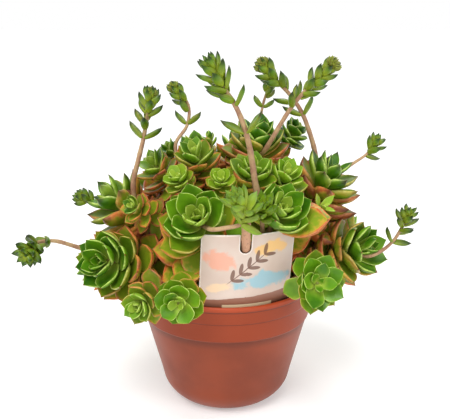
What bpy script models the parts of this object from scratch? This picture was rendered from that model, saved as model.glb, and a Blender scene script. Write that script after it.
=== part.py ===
# Potted echeveria: a clump of rosettes with flower stalks in a clay-coloured plastic pot.
# Metres, +Z up. The origin is the centre of the pot's flat base, and the label stands at the front, at -Y.

import math
import random

import bmesh
import bpy
from mathutils import Euler, Vector
from mathutils.bvhtree import BVHTree

MM = 0.001
GAP = 0.3 * MM                  # clearance between pieces that touch
STALK_START = 5.0               # how far off its stem a stalk's foot starts, and its steps in, in mm
STALK_STEP = 0.15
LEAF_STEP = 2 * 137.5           # degrees between leaves: two golden angles, so in-between ones still fit

# Pot and soil, radius and height in millimetres
TURN_STEPS = 24
FLOOR_TOP = 2.2
POT_INNER = [(0, FLOOR_TOP), (36.5, FLOOR_TOP), (46.6, 9.2), (51.6, 17.0), (52.9, 24.0), (66.2, 73.0),
             (67.5, 101.0)]
POT_OUTER = [(68.3, 102.0), (69.8, 102.0), (70.6, 101.0), (70.6, 98.4), (69.9, 97.4), (69.7, 88.4),
             (69.1, 87.6), (69.0, 73.8), (67.7, 73.0), (54.6, 24.0), (52.8, 15.5),
             (48.2, 8.2), (41.6, 2.6), (34.0, 0.0), (0, 0)]
DRAIN_COUNT = 5
DRAIN_RADIUS = 3.0 * MM
DRAIN_CIRCLE = 24.0 * MM
DRAIN_SIDES = 6
DRAIN_LOW = -1.0 * MM           # the drain cutters reach from here to here
DRAIN_HIGH = 6.0 * MM
SOIL_EDGE = 94.0                # soil level at the wall
SOIL_MIDDLE = 96.5              # and at the centre
HOLE_DEPTH = 8.0 * MM           # how deep the stems stand in the soil

# Label: a card on a slightly opening cone behind the front of the rim, lengths in millimetres
LABEL_TURN = 14.5               # degrees round from the front
LABEL_RADIUS = 63.96            # at the height of LABEL_FOOT
LABEL_FOOT = 100.0
LABEL_TOP = 160.0
LABEL_SLOPE = 0.18              # how far it opens for each unit of height
LABEL_HALF_WIDTH = 35.5
LABEL_THICKNESS = 0.7
TONGUE_HALF_WIDTH = 19.0
TONGUE_BOTTOM = 82.0
NOTCH_MIDDLE = -4.3             # to the left of the label's middle
NOTCH_HALF_WIDTH = 4.3
NOTCH_DEPTH = 15.0
CORNER = 3.0
LABEL_SPAN = 72.0               # degrees of the strip that the label is cut from, and its steps
LABEL_STEPS = 18
LABEL_SPARE = 5.0               # how far the strip passes the card's top and foot
CUT_NEAR = 30 * MM              # the card's outline cuts the strip between these distances from the axis
CUT_FAR = 100 * MM
SLOT_LOW = 70 * MM              # heights between which the outline of the tongue's slot cuts
SLOT_HIGH = 110 * MM

# Rosettes. Each leafy head stands at a turn and a height from the middle of the clump, and it faces
# along a turn and a height of its own, in degrees. Turns count from the front (-Y) towards +X.
CLUMP_MIDDLE = Vector((0, 0, 98.0)) * MM
STEM_SEATS = (8.0, 46.0)        # where a stem stands: 8 mm from the axis, and 46 mm more for a low head

# Leaf form by style: width to length, angle from the stem of the youngest and the oldest leaf,
# how much the leaf curls up along its length, the thickness to width, and how far the oldest leaves
# outgrow the crown
STYLES = {
    "full": (0.62, 12, 92, 22, 0.15, 1.15),
    "cup": (0.66, 12, 82, 20, 0.16, 1.15),
    "open": (0.78, 30, 92, 12, 0.12, 1.0),
    "star": (0.60, 34, 94, 10, 0.13, 1.0),
    "few": (0.70, 20, 76, 14, 0.15, 1.0),
    "sprig": (0.40, 24, 76, 8, 0.18, 1.0),
    "long": (0.46, 16, 94, 18, 0.18, 1.3),
    "bud": (0.48, 12, 60, 8, 0.24, 1.0),
}
PALE_STYLES = ("few", "open", "star", "sprig")

# How the leaves of a head follow their age, from 0 at the bud to 1 for the oldest leaf
YOUNGEST = 0.14                 # age of the first leaf
FIRST_DEPTH = 1.2               # mm from the stem's tip to the youngest leaf
DEPTH_POWER = 1.6               # how the spacing widens down the stem
YOUNG_SIZE = 0.34               # length of the youngest leaf to a full-grown one
GROWN_AGE = 0.5                 # age at which a leaf has its full length
LEAF_JITTER = 5.0               # degrees of scatter in a leaf's turn
PAIR_JITTER = 15.0              # and in the turn of a stalk's leaf pair
FACING_SHARE = 0.75             # how far old leaves face as the heart does, not as the stem under them
PLAIN_BELOW = 19.0              # leaves shorter than this, in mm, have a single section
STEM_RADII = [(22, 3.4), (15, 2.7), (0, 1.9)]   # by leaf length: from this length on, this radius, in mm
STEM_RISE = 34.0                # mm that a stem runs straight up from its foot, and straight to its head

# name, style, place (turn, height, reach in mm), facing (turn, height), leaf length in mm, leaves,
# length of leafy stem in mm
HEADS = [
    ("head_01", "full", (-17.2, 46, 102), (-8, 33), 37, 23, 54),
    ("head_02", "full", (32, 46, 108), (20, 40), 33, 22, 52),
    ("head_03", "few", (-42, 61, 111), (-30, 50), 15, 7, 10),
    ("head_04", "few", (-4, 62, 111), (0, 48), 14, 7, 10),
    ("head_05", "cup", (26, 67, 112), (10, 58), 23, 12, 24),
    ("head_06", "cup", (54, 60, 113), (32, 54), 21, 11, 24),
    ("head_07", "full", (115, 76, 122), (20, 74), 29, 23, 40),
    ("head_08", "cup", (119, 62, 141), (70, 50), 14, 8, 14),
    ("head_09", "bud", (-110, 83, 122), (-100, 62), 9, 5, 7),
    ("head_10", "full", (-62, 76, 113), (-20, 66), 24, 12, 26),
    ("head_11", "full", (-90, 60, 116), (-60, 50), 20, 12, 24),
    ("head_12", "bud", (-112, 65, 120), (-90, 60), 13, 6, 9),
    ("head_13", "long", (-89, 38, 115), (-78, 42), 35, 18, 46),
    ("head_14", "cup", (-60, 43, 111), (-35, 25), 14, 8, 12),
    ("head_15", "full", (-61.5, 18, 112), (-24, 18), 34, 21, 52),
    ("head_16", "cup", (-34, 8, 112), (-24, -2), 18, 9, 16),
    ("head_17", "open", (-17.5, 11.5, 112), (-8, 2), 19, 9, 12),
    ("head_18", "star", (37, 15.5, 112), (10, 20), 24, 11, 14),
    ("head_19", "full", (80, 17, 116), (46, 18), 32, 20, 50),
    ("head_20", "long", (87, 48, 124), (66, 60), 33, 20, 46),
    ("head_21", "sprig", (63, 42, 112), (40, 25), 14, 6, 8),
    ("head_22", "full", (126, 38, 113), (128, 40), 36, 13, 38),
    ("head_23", "full", (158, 42, 114), (156, 44), 34, 12, 38),
    ("head_24", "full", (-170, 40, 113), (-172, 44), 36, 13, 38),
    ("head_25", "full", (-138, 43, 113), (-140, 44), 36, 13, 38),
    ("head_26", "cup", (-112, 30, 112), (-108, 26), 24, 9, 24),
    ("head_27", "full", (110, 12, 113), (108, 14), 36, 12, 38),
    ("head_28", "cup", (137, 14, 112), (139, 12), 24, 9, 24),
    ("head_29", "full", (163, 12, 113), (163, 14), 36, 12, 38),
    ("head_30", "open", (-170, 10, 112), (-168, 8), 24, 9, 14),
    ("head_31", "full", (-143, 13, 113), (-144, 14), 36, 12, 38),
    ("head_32", "cup", (-117, 8, 112), (-115, 6), 24, 10, 24),
    ("head_33", "full", (-93, 8, 112), (-84, 8), 28, 11, 30),
    ("head_34", "full", (165, 66, 113), (165, 70), 28, 10, 26),
    ("head_35", "full", (-150, 64, 114), (-152, 66), 28, 10, 26),
]
# Stems that stand elsewhere in the soil than straight below their head: turn and distance in mm
SEAT_TURNS = {
    "head_17": (-27, 50),
    "head_18": (64, 55),
}

# Flower stalks: name, head that each grows from and how far down its stem in mm, points that it goes
# through in mm, radius at foot and tip in mm, leaf length in mm, leaves, leafy length in mm, and the
# distances from the tip of its leaf pairs in mm
STALKS = [
    ("stalk_01", "head_15", 24, [(-98, -26, 128), (-112, -27, 134), (-126, -33, 141), (-138, -38, 145),
     (-146, -45, 144), (-150, -56, 139)], (1.9, 1.3), 15, 9, 13, (23,)),
    ("stalk_02", "head_13", 14, [(-99, -1, 161), (-109, -1, 165), (-119, -1, 171)],
     (1.4, 1.1), 12, 7, 11, ()),
    ("stalk_03", "head_13", 34, [(-74, -11, 172), (-73, -12, 188), (-68, -14, 206), (-64, -15, 221),
     (-61, -15, 236), (-58, -15, 254)], (2.3, 1.3), 15, 10, 26, (34,)),
    ("stalk_04", "head_10", 22, [(-42, -2, 206), (-35, 1, 222), (-29, 3, 233), (-31, 5, 246),
     (-41, 5, 257)], (1.5, 1.1), 13, 8, 22, (32,)),
    ("stalk_05", "head_02", 20, [(24, -56, 182), (20, -58, 200), (18, -60, 214), (14, -65, 232),
     (10, -68, 243), (5, -70, 254), (-3, -72, 266), (-10, -74, 279)], (2.5, 1.4), 18, 12, 32, (54,)),
    ("stalk_06", "head_07", 20, [(28, 32, 216), (29, 43, 230), (32, 45, 243), (36, 45, 256)],
     (1.4, 1.0), 11, 6, 10, (19,)),
    ("stalk_07", "head_07", 16, [(32, -6, 211), (37, -7, 221), (45, -9, 235), (54, -11, 249),
     (66, -13, 262), (74, -14, 268), (79, -15, 275)], (2.0, 1.2), 15, 12, 42, ()),
    ("stalk_08", "head_20", 20, [(74, 10, 197), (69, 12, 216), (63, 13, 233), (55, 14, 246),
     (46, 15, 257), (37, 16, 265), (30, 17, 273)], (2.2, 1.3), 16, 10, 26, (38, 50)),
    ("stalk_09", "head_20", 14, [(98, -1, 195), (106, 0, 201), (113, 0, 206), (120, 0, 216)],
     (1.3, 1.0), 14, 7, 14, ()),
    ("stalk_10", "head_19", 14, [(113, -26, 128), (122, -28, 133), (130, -31, 142), (135, -33, 152),
     (140, -34, 166)], (1.5, 1.1), 14, 8, 18, (27,)),
    ("stalk_11", None, 0, [(25, -42, 110), (27, -50, 138), (27, -57, 155), (26, -66, 168),
     (25, -79, 183)], (2.1, 1.5), 18, 9, 16, ()),
    ("stalk_12", "head_01", 10, [(-9, -88, 168), (0, -90, 170), (9, -90, 172), (14, -91, 177),
     (12, -95, 185), (7, -98, 192)], (1.7, 1.3), 17, 12, 24, ()),
]

# What is tried in turn for a leaf that would cross another piece: degrees of bend, and share of its length
BENDS = [(0, 1.0), (-7, 1.0), (7, 1.0), (-14, 0.95), (16, 1.0), (0, 0.85), (28, 0.95), (-14, 0.75),
         (40, 0.9), (0, 0.68), (-22, 0.7), (0, 0.52)]

pieces = []                     # every placed surface: owner, search tree, centre and reach


def clear_scene():
    for obj in list(bpy.data.objects):
        bpy.data.objects.remove(obj, do_unlink=True)


def new_collection(name):
    group = bpy.data.collections.new(name)
    bpy.context.scene.collection.children.link(group)
    return group


def material(name, color, roughness, metallic=0.0):
    mat = bpy.data.materials.new(name)
    mat.use_nodes = True
    shader = mat.node_tree.nodes["Principled BSDF"]
    shader.inputs["Base Color"].default_value = (*color, 1.0)
    shader.inputs["Roughness"].default_value = roughness
    shader.inputs["Metallic"].default_value = metallic
    return mat


def mesh_object(name, verts, faces, group, edges=()):
    mesh = bpy.data.meshes.new(name)
    mesh.from_pydata([tuple(v) for v in verts], list(edges), faces)
    mesh.update()
    obj = bpy.data.objects.new(name, mesh)
    group.objects.link(obj)
    return obj


def finished_mesh(obj):
    bpy.context.view_layer.update()
    graph = bpy.context.evaluated_depsgraph_get()
    return bpy.data.meshes.new_from_object(obj.evaluated_get(graph))


def apply_modifiers(obj):
    mesh = finished_mesh(obj)
    obj.modifiers.clear()
    obj.data = mesh


def turned(name, profile, group, angle=360.0, steps=TURN_STEPS, closed=False):
    verts = [(r * MM, 0, z * MM) for r, z in profile]
    edges = [(i, i + 1) for i in range(len(verts) - 1)]
    if closed:
        edges.append((len(verts) - 1, 0))
    obj = mesh_object(name, verts, [], group, edges)
    screw = obj.modifiers.new("turn", "SCREW")
    screw.axis = "Z"
    screw.angle = math.radians(angle)
    screw.steps = steps
    screw.render_steps = steps
    screw.use_merge_vertices = True
    screw.merge_threshold = 0.00001
    return obj


def prism(name, outline, low, high, group):
    # A straight prism along Z, from an outline that runs anticlockwise
    n = len(outline)
    verts = [(x, y, low) for x, y in outline] + [(x, y, high) for x, y in outline]
    faces = [tuple(reversed(range(n))), tuple(range(n, 2 * n))]
    faces += [(i, (i + 1) % n, n + (i + 1) % n, n + i) for i in range(n)]
    return mesh_object(name, verts, faces, group)


def disc_outline(centre, radius, sides):
    return [(centre[0] + radius * math.cos(2 * math.pi * i / sides),
             centre[1] + radius * math.sin(2 * math.pi * i / sides)) for i in range(sides)]


def cut(obj, cutter, operation="DIFFERENCE"):
    boolean = obj.modifiers.new(operation.lower(), "BOOLEAN")
    boolean.operation = operation
    boolean.solver = "EXACT"
    if isinstance(cutter, bpy.types.Collection):
        boolean.operand_type = "COLLECTION"
        boolean.collection = cutter
    else:
        boolean.object = cutter


def tube(name, points, radii, group):
    # A four-sided tube with filled caps along the points, welded at its caps
    curve = bpy.data.curves.new(name, "CURVE")
    curve.dimensions = "3D"
    curve.bevel_depth = 1.0 * MM
    curve.bevel_resolution = 0
    curve.use_fill_caps = True
    spline = curve.splines.new("POLY")
    spline.points.add(len(points) - 1)
    for point, place, radius in zip(spline.points, points, radii):
        point.co = (*place, 1.0)
        point.radius = radius / MM
    route = bpy.data.objects.new(name, curve)
    group.objects.link(route)
    mesh = finished_mesh(route)
    bpy.data.objects.remove(route, do_unlink=True)
    bm = bmesh.new()
    bm.from_mesh(mesh)
    bmesh.ops.remove_doubles(bm, verts=bm.verts, dist=0.00001)
    bmesh.ops.triangulate(bm, faces=bm.faces)
    bm.to_mesh(mesh)
    bm.free()
    obj = bpy.data.objects.new(name, mesh)
    group.objects.link(obj)
    return obj


def direction(turn, height):
    a = math.radians(turn)
    h = math.radians(height)
    return Vector((math.sin(a) * math.cos(h), -math.cos(a) * math.cos(h), math.sin(h)))


def bezier(p0, p1, p2, p3, fractions):
    points = []
    for t in fractions:
        s = 1 - t
        points.append(p0 * s ** 3 + p1 * (3 * s * s * t) + p2 * (3 * s * t * t) + p3 * t ** 3)
    return points


def smooth_route(points, count):
    # Points at even spacing on a Catmull-Rom curve through the given points
    dense = []
    padded = [points[0] * 2 - points[1]] + list(points) + [points[-1] * 2 - points[-2]]
    for a, b, c, d in zip(padded, padded[1:], padded[2:], padded[3:]):
        for i in range(8):
            t = i / 8
            dense.append(0.5 * (2 * b + (c - a) * t + (2 * a - 5 * b + 4 * c - d) * t * t
                                + (3 * b - a - 3 * c + d) * t ** 3))
    dense.append(points[-1].copy())
    total = sum((b - a).length for a, b in zip(dense, dense[1:]))
    return [place_on(dense, total * (1 - i / (count - 1)))[0] for i in range(count)]


def place_on(points, from_end):
    # The place and the heading on a polyline, at a distance back from its last point
    left = from_end
    for a, b in zip(reversed(points[:-1]), reversed(points[1:])):
        run = (b - a).length
        if left <= run:
            return b + (a - b) * (left / run), (b - a).normalized()
        left -= run
    return points[0].copy(), (points[1] - points[0]).normalized()


def side_vectors(heading):
    # Two directions square to a heading, the first as near to level as it can be
    level = heading.cross(Vector((0, 0, 1)))
    if level.length < 0.05:
        level = Vector((1, 0, 0))
    level.normalize()
    return level, level.cross(heading).normalized()


def blade(root, heading, outward, length, width, thick, angle, curl, plain, grow=0.0):
    # One leaf: it starts as a point in the stem, widens, and ends in a blunt point, with a flat face
    # above and a keel below. It leaves the stem at an angle and curls back towards the stem's heading.
    # A plain one has a single section.
    across = outward.cross(heading).normalized()
    sections = ((0.56, 0.5, 1.0),) if plain else ((0.46, 0.44, 1.0), (0.80, 0.45, 0.72))
    verts = [root.copy()]
    centre = root.copy()
    before = 0.0
    for along, half, depth in sections + ((1.0, 0.0, 0.0),):
        middle = math.radians(angle - curl * (along + before) / 2)
        here = math.radians(angle - curl * along)
        step = (along - before) * (length + grow)
        centre = centre + (heading * math.cos(middle) + outward * math.sin(middle)) * step
        face = heading * math.sin(here) - outward * math.cos(here)
        before = along
        if half == 0.0:
            verts.append(centre + face * (0.03 * length))
            continue
        side = half * width + grow
        lift = 0.16 * half * width + grow * 0.5
        verts += [centre + across * side + face * lift,
                  centre - across * side + face * lift,
                  centre - face * (depth * thick + grow)]
    faces = []
    for i in range(3):
        j = (i + 1) % 3
        faces.append((0, 1 + j, 1 + i))
        for k in range(len(sections) - 1):
            a = 1 + 3 * k
            faces += [(a + i, a + j, a + 3 + i), (a + j, a + 3 + j, a + 3 + i)]
        a = 1 + 3 * (len(sections) - 1)
        faces.append((a + i, a + j, len(verts) - 1))
    volume = sum((verts[a] - root).dot((verts[b] - root).cross(verts[c] - root)) for a, b, c in faces)
    if volume < 0:
        faces = [(a, c, b) for a, b, c in faces]
    return verts, faces


def note_piece(owner, verts, faces):
    centre = sum(verts, Vector()) / len(verts)
    reach = max((v - centre).length for v in verts)
    tree = BVHTree.FromPolygons([tuple(v) for v in verts], [tuple(f) for f in faces])
    pieces.append((owner, tree, centre, reach))


def note_object(owner, obj):
    mesh = finished_mesh(obj)
    note_piece(owner, [v.co.copy() for v in mesh.vertices], [tuple(p.vertices) for p in mesh.polygons])
    bpy.data.meshes.remove(mesh)


def is_clear(owner, verts, faces):
    centre = sum(verts, Vector()) / len(verts)
    reach = max((v - centre).length for v in verts)
    tree = BVHTree.FromPolygons([tuple(v) for v in verts], faces)
    for other, other_tree, other_centre, other_reach in pieces:
        if other == owner or (other_centre - centre).length > reach + other_reach:
            continue
        if tree.overlap(other_tree):
            return False
    return True


def place_blade(owner, root, heading, outward, length, width, thick, angle, curl, plain):
    # A leaf that would cross another piece is bent clear or stays shorter. None is returned if all fail.
    for bend, part in BENDS:
        size = length * part
        shape = (root, heading, outward, size, width * (0.4 + 0.6 * part), thick, angle + bend, curl, plain)
        verts, faces = blade(*shape, grow=0.5 * MM)
        if is_clear(owner, verts, faces):
            verts, faces = blade(*shape)
            note_piece(owner, verts, faces)
            return verts, faces
    return None


def fuse(name, stem, blades, group, mat):
    # Joins a stem and its leaves into one closed solid, and keeps its largest shell
    members = new_collection(name + "_members")
    for i, (verts, faces) in enumerate(blades):
        mesh_object("%s_leaf_%02d" % (name, i), verts, faces, members)
    for solver in ("EXACT", "MANIFOLD"):
        boolean = stem.modifiers.new("union", "BOOLEAN")
        boolean.operation = "UNION"
        boolean.operand_type = "COLLECTION"
        boolean.collection = members
        boolean.solver = solver
        mesh = finished_mesh(stem)
        stem.modifiers.clear()
        if largest_shell(mesh):
            break
    for obj in list(members.objects):
        bpy.data.objects.remove(obj, do_unlink=True)
    bpy.data.collections.remove(members)
    stem.data = mesh
    stem.name = name
    mesh.materials.clear()
    mesh.materials.append(mat)
    for owner_group in list(stem.users_collection):
        owner_group.objects.unlink(stem)
    group.objects.link(stem)
    return stem


def largest_shell(mesh):
    # Keeps the shell with the most faces and says whether it is closed
    bm = bmesh.new()
    bm.from_mesh(mesh)
    bmesh.ops.remove_doubles(bm, verts=bm.verts, dist=0.000001)
    bmesh.ops.triangulate(bm, faces=bm.faces)
    bmesh.ops.dissolve_degenerate(bm, edges=bm.edges, dist=0.000001)
    seen = set()
    shells = []
    for first in bm.faces:
        if first in seen:
            continue
        shell = [first]
        seen.add(first)
        for face in shell:
            for edge in face.edges:
                for near in edge.link_faces:
                    if near not in seen:
                        seen.add(near)
                        shell.append(near)
        shells.append(shell)
    keep = set(max(shells, key=len))
    bmesh.ops.delete(bm, geom=[f for f in bm.faces if f not in keep], context="FACES")
    closed = all(len(edge.link_faces) == 2 for edge in bm.edges)
    bm.to_mesh(mesh)
    bm.free()
    return closed


def smooth_shade(obj, sharp_angle=math.radians(35)):
    obj.data.polygons.foreach_set("use_smooth", [True] * len(obj.data.polygons))
    obj.data.set_sharp_from_angle(angle=sharp_angle)


def make_pot(group, cutters, mat):
    pot = turned("pot", POT_INNER + POT_OUTER, group)
    drains = bpy.data.collections.new("drain_cutters")
    cutters.children.link(drains)
    for i in range(DRAIN_COUNT):
        turn = 2 * math.pi * i / DRAIN_COUNT
        middle = (DRAIN_CIRCLE * math.cos(turn), DRAIN_CIRCLE * math.sin(turn))
        outline = disc_outline(middle, DRAIN_RADIUS, DRAIN_SIDES)
        drain = prism("drain_cutter_%d" % i, outline, DRAIN_LOW, DRAIN_HIGH, drains)
        drain.display_type = "WIRE"
        drain.hide_render = True
    cut(pot, drains)
    apply_modifiers(pot)
    pot.data.materials.clear()
    pot.data.materials.append(mat)
    smooth_shade(pot)
    return pot


def label_radius(height):
    return LABEL_RADIUS + (height - LABEL_FOOT) * LABEL_SLOPE


def label_strip(name, low, high, extra, group):
    # A part turn of the label's section, centred on its own direction
    half = LABEL_THICKNESS / 2 + extra
    profile = [(label_radius(high) + half, high), (label_radius(low) + half, low),
               (label_radius(low) - half, low), (label_radius(high) - half, high)]
    strip = turned(name, profile, group, angle=LABEL_SPAN, steps=LABEL_STEPS, closed=True)
    apply_modifiers(strip)
    bm = bmesh.new()
    bm.from_mesh(strip.data)
    bmesh.ops.holes_fill(bm, edges=[e for e in bm.edges if e.is_boundary], sides=0)
    bmesh.ops.recalc_face_normals(bm, faces=bm.faces)
    bm.to_mesh(strip.data)
    bm.free()
    strip.rotation_euler = (0, 0, math.radians(-90 + LABEL_TURN - LABEL_SPAN / 2))
    return strip


def label_outline():
    # Seen from the front: rounded top corners, a U notch in the top edge, a tongue at the foot
    w = LABEL_HALF_WIDTH
    n = NOTCH_HALF_WIDTH
    points = [(-w, LABEL_FOOT), (-TONGUE_HALF_WIDTH, LABEL_FOOT), (-TONGUE_HALF_WIDTH + 2, TONGUE_BOTTOM),
              (TONGUE_HALF_WIDTH - 2, TONGUE_BOTTOM), (TONGUE_HALF_WIDTH, LABEL_FOOT), (w, LABEL_FOOT)]
    for turn in (0, 30, 60, 90):
        a = math.radians(turn)
        points.append((w - CORNER + CORNER * math.cos(a), LABEL_TOP - CORNER + CORNER * math.sin(a)))
    points.append((NOTCH_MIDDLE + n, LABEL_TOP))
    for turn in (0, -45, -90, -135, -180):
        a = math.radians(turn)
        points.append((NOTCH_MIDDLE + n * math.cos(a), LABEL_TOP - NOTCH_DEPTH + n + n * math.sin(a)))
    points.append((NOTCH_MIDDLE - n, LABEL_TOP))
    for turn in (90, 120, 150, 180):
        a = math.radians(turn)
        points.append((-w + CORNER + CORNER * math.cos(a), LABEL_TOP - CORNER + CORNER * math.sin(a)))
    return points


def make_label(group, cutters, mat):
    label = label_strip("label", TONGUE_BOTTOM - LABEL_SPARE, LABEL_TOP + LABEL_SPARE, 0.0, group)
    outline = [(x * MM, z * MM) for x, z in label_outline()]
    # The prism is made lying along Z, then turned to look along the label's own direction
    frame = prism("label_cutter", outline, CUT_NEAR, CUT_FAR, cutters)
    frame.rotation_euler = (math.radians(90), 0, math.radians(LABEL_TURN))
    frame.display_type = "WIRE"
    frame.hide_render = True
    cut(label, frame, "INTERSECT")
    mesh = finished_mesh(label)
    mesh.transform(label.matrix_world)
    label.modifiers.clear()
    label.rotation_euler = (0, 0, 0)
    label.data = mesh
    mesh.materials.clear()
    mesh.materials.append(mat)
    return label


def note_label_front(bench):
    # The space before the label's face, where no leaf of a head hangs
    w = (LABEL_HALF_WIDTH - 8) * MM
    low = LABEL_FOOT * MM
    high = (LABEL_TOP - 1) * MM
    front = prism("label_front", [(-w, low), (w, low), (w, high), (-w, high)],
                  (label_radius(LABEL_TOP) + 1) * MM, 130 * MM, bench)
    front.data.transform(Euler((math.radians(90), 0, math.radians(LABEL_TURN))).to_matrix().to_4x4())
    note_object("label_front", front)
    bpy.data.objects.remove(front, do_unlink=True)


def make_soil(group, cutters, mat, seats):
    clear = GAP / MM
    floor_radius = POT_INNER[1][0]
    wall = [(r - 1.5 * clear, z) for r, z in POT_INNER[2:-1]]
    (low_radius, low), (high_radius, high) = POT_INNER[-2:]
    top_radius = low_radius + (high_radius - low_radius) * (SOIL_EDGE - low) / (high - low)
    profile = [(0, SOIL_MIDDLE), (top_radius - 1.5 * clear, SOIL_EDGE)] + list(reversed(wall))
    profile += [(floor_radius - clear, FLOOR_TOP + clear), (0, FLOOR_TOP + clear)]
    soil = turned("soil", profile, group)
    holes = bpy.data.collections.new("hole_cutters")
    cutters.children.link(holes)
    for name, foot, radius in seats:
        outline = disc_outline((foot.x, foot.y), (radius + GAP) / math.cos(math.pi / 4), 4)
        prism(name + "_hole", outline, foot.z - GAP, (SOIL_MIDDLE + 4) * MM, holes)
    slot = label_strip("label_slot", TONGUE_BOTTOM - clear, SOIL_MIDDLE + 4, clear, holes)
    side = (TONGUE_HALF_WIDTH + 0.5) * MM
    sides = [(-side, SLOT_LOW), (side, SLOT_LOW), (side, SLOT_HIGH), (-side, SLOT_HIGH)]
    frame = prism("slot_cutter", sides, CUT_NEAR, CUT_FAR, cutters)
    frame.rotation_euler = (math.radians(90), 0, math.radians(LABEL_TURN))
    cut(slot, frame, "INTERSECT")
    for cutter in list(holes.objects) + [frame]:
        cutter.display_type = "WIRE"
        cutter.hide_render = True
    cut(soil, holes)
    apply_modifiers(soil)
    soil.data.materials.clear()
    soil.data.materials.append(mat)
    return soil


def stem_radius(leaf_length):
    return next(radius for least, radius in STEM_RADII if leaf_length >= least) * MM


def plan_head(row):
    name, style, place, facing, size, leaves, leafy = row
    turn, height, reach = place
    heart = CLUMP_MIDDLE + direction(turn, height) * reach * MM
    axis = direction(*facing)
    seat_turn, seat_reach = SEAT_TURNS.get(
        name, (turn, STEM_SEATS[0] + STEM_SEATS[1] * math.cos(math.radians(height)) ** 1.2))
    ground = direction(seat_turn, 0) * seat_reach * MM
    foot = ground + Vector((0, 0, SOIL_EDGE * MM - HOLE_DEPTH))
    rise = foot + Vector((0, 0, STEM_RISE * MM))
    back = heart - axis * min(STEM_RISE * MM, 0.45 * (heart - foot).length)
    points = bezier(foot, rise, back, heart, (0, 0.42, 0.74, 1.0))
    points.insert(1, foot + Vector((0, 0, HOLE_DEPTH + 4 * MM)))
    radius = stem_radius(size)
    radii = [radius] * (len(points) - 2) + [radius * 0.9, radius * 0.4]
    return {"name": name, "style": style, "size": size * MM, "leaves": leaves, "leafy": leafy * MM,
            "axis": axis, "points": points, "radii": radii, "foot": foot, "radius": radius}


def head_leaves(plan, rng):
    # One entry for each leaf, youngest first: how far down the stem it sits, and its form
    share, first, last, curl, thick, outgrown = STYLES[plan["style"]]
    start = rng.uniform(0, 360)
    entries = []
    for k in range(plan["leaves"]):
        age = YOUNGEST + (1 - YOUNGEST) * k / (plan["leaves"] - 1)
        depth = FIRST_DEPTH * MM + plan["leafy"] * age ** DEPTH_POWER
        grown = YOUNG_SIZE + (1 - YOUNG_SIZE) * min(1.0, age / GROWN_AGE) ** 0.9
        length = plan["size"] * grown * rng.uniform(0.95, 1.05)
        length *= 1 + (outgrown - 1) * max(0.0, 2 * age - 1)
        angle = first + (last - first) * age ** 0.8 + rng.uniform(-3, 3)
        turn = start + k * LEAF_STEP + rng.uniform(-LEAF_JITTER, LEAF_JITTER)
        width = length * share
        entries.append((depth, turn, length, width, max(width * thick, 1.2 * MM), angle,
                        curl * (0.4 + 0.6 * age)))
    return entries


def stalk_leaves(row, points, rng):
    length, count, leafy, pairs = row[5] * MM, row[6], row[7] * MM, row[8]
    entries = []
    start = rng.uniform(0, 360)
    for k in range(count):
        age = k / (count - 1)
        grown = min(1.0, 0.5 + 0.12 * k)
        depth = 0.6 * MM + leafy * age ** 1.2
        angle = 14 + 22 * min(1.0, k / 6) + rng.uniform(-4, 4)
        entries.append((depth, start + k * LEAF_STEP, length * grown, length * grown * 0.5,
                        2.1 * MM, angle, -6))
    for distance in pairs:
        # A pair spreads to the left and the right, seen from the front
        level, up = side_vectors(place_on(points, distance * MM)[1])
        turn = math.degrees(math.atan2(up.x, level.x)) + rng.uniform(-PAIR_JITTER, PAIR_JITTER)
        for side in (0, 180):
            entries.append((distance * MM, turn + side, length * 1.15, length * 0.5, 2.0 * MM, 44, 4))
    return entries


def set_leaf(owner, points, entry, axis=None):
    depth, turn, length, width, thick, angle, curl = entry
    plain = length < PLAIN_BELOW * MM
    place, heading = place_on(points, depth)
    if axis:
        heading = heading.lerp(axis, FACING_SHARE).normalized()
    level, up = side_vectors(heading)
    a = math.radians(turn)
    outward = level * math.cos(a) + up * math.sin(a)
    return place_blade(owner, place, heading, outward, length, width, thick, angle, curl, plain)


def add_stem(plan, bench):
    stem = tube(plan["name"], plan["points"], plan["radii"], bench)
    note_object(plan["name"], stem)
    return stem


def lay_stalk(row, start):
    # Even points and their radii, from the starting place through the stalk's route
    foot_radius, tip_radius = row[4]
    points = start + [Vector(p) * MM for p in row[3]]
    count = max(5, len(points))
    points = smooth_route(points, count)
    radii = [(foot_radius + (tip_radius - foot_radius) * i / (count - 1)) * MM for i in range(count)]
    radii[-1] *= 0.6
    return points, radii


def plan_stalk(row, heads, bench):
    name, parent, down, route, (foot_radius, _) = row[:5]
    if parent is None:
        points, radii = lay_stalk(row, [])
        points[0] = Vector((points[1].x, points[1].y, SOIL_EDGE * MM - HOLE_DEPTH))
    else:
        # The foot starts well clear of the head's stem and steps in until only the gap is left
        head = heads[parent]
        tree = next(piece[1] for piece in pieces if piece[0] == parent)
        join = place_on(head["points"], down * MM)[0]
        towards = (Vector(route[0]) * MM - join).normalized()
        stand_off = head["radius"] + (foot_radius + STALK_START) * MM
        while stand_off > 0:
            closer, closer_radii = lay_stalk(row, [join + towards * stand_off])
            grown = [closer[0] - towards * GAP] + closer[1:]
            trial = tube("trial", grown, [radius + GAP for radius in closer_radii], bench)
            crossing = tree.overlap(BVHTree.FromPolygons([tuple(v.co) for v in trial.data.vertices],
                                                         [tuple(p.vertices) for p in trial.data.polygons]))
            bpy.data.objects.remove(trial, do_unlink=True)
            if crossing:
                break
            points, radii = closer, closer_radii
            stand_off -= STALK_STEP * MM
    return {"name": name, "points": points, "radii": radii, "foot": points[0],
            "radius": foot_radius * MM, "own_seat": parent is None}


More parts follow.
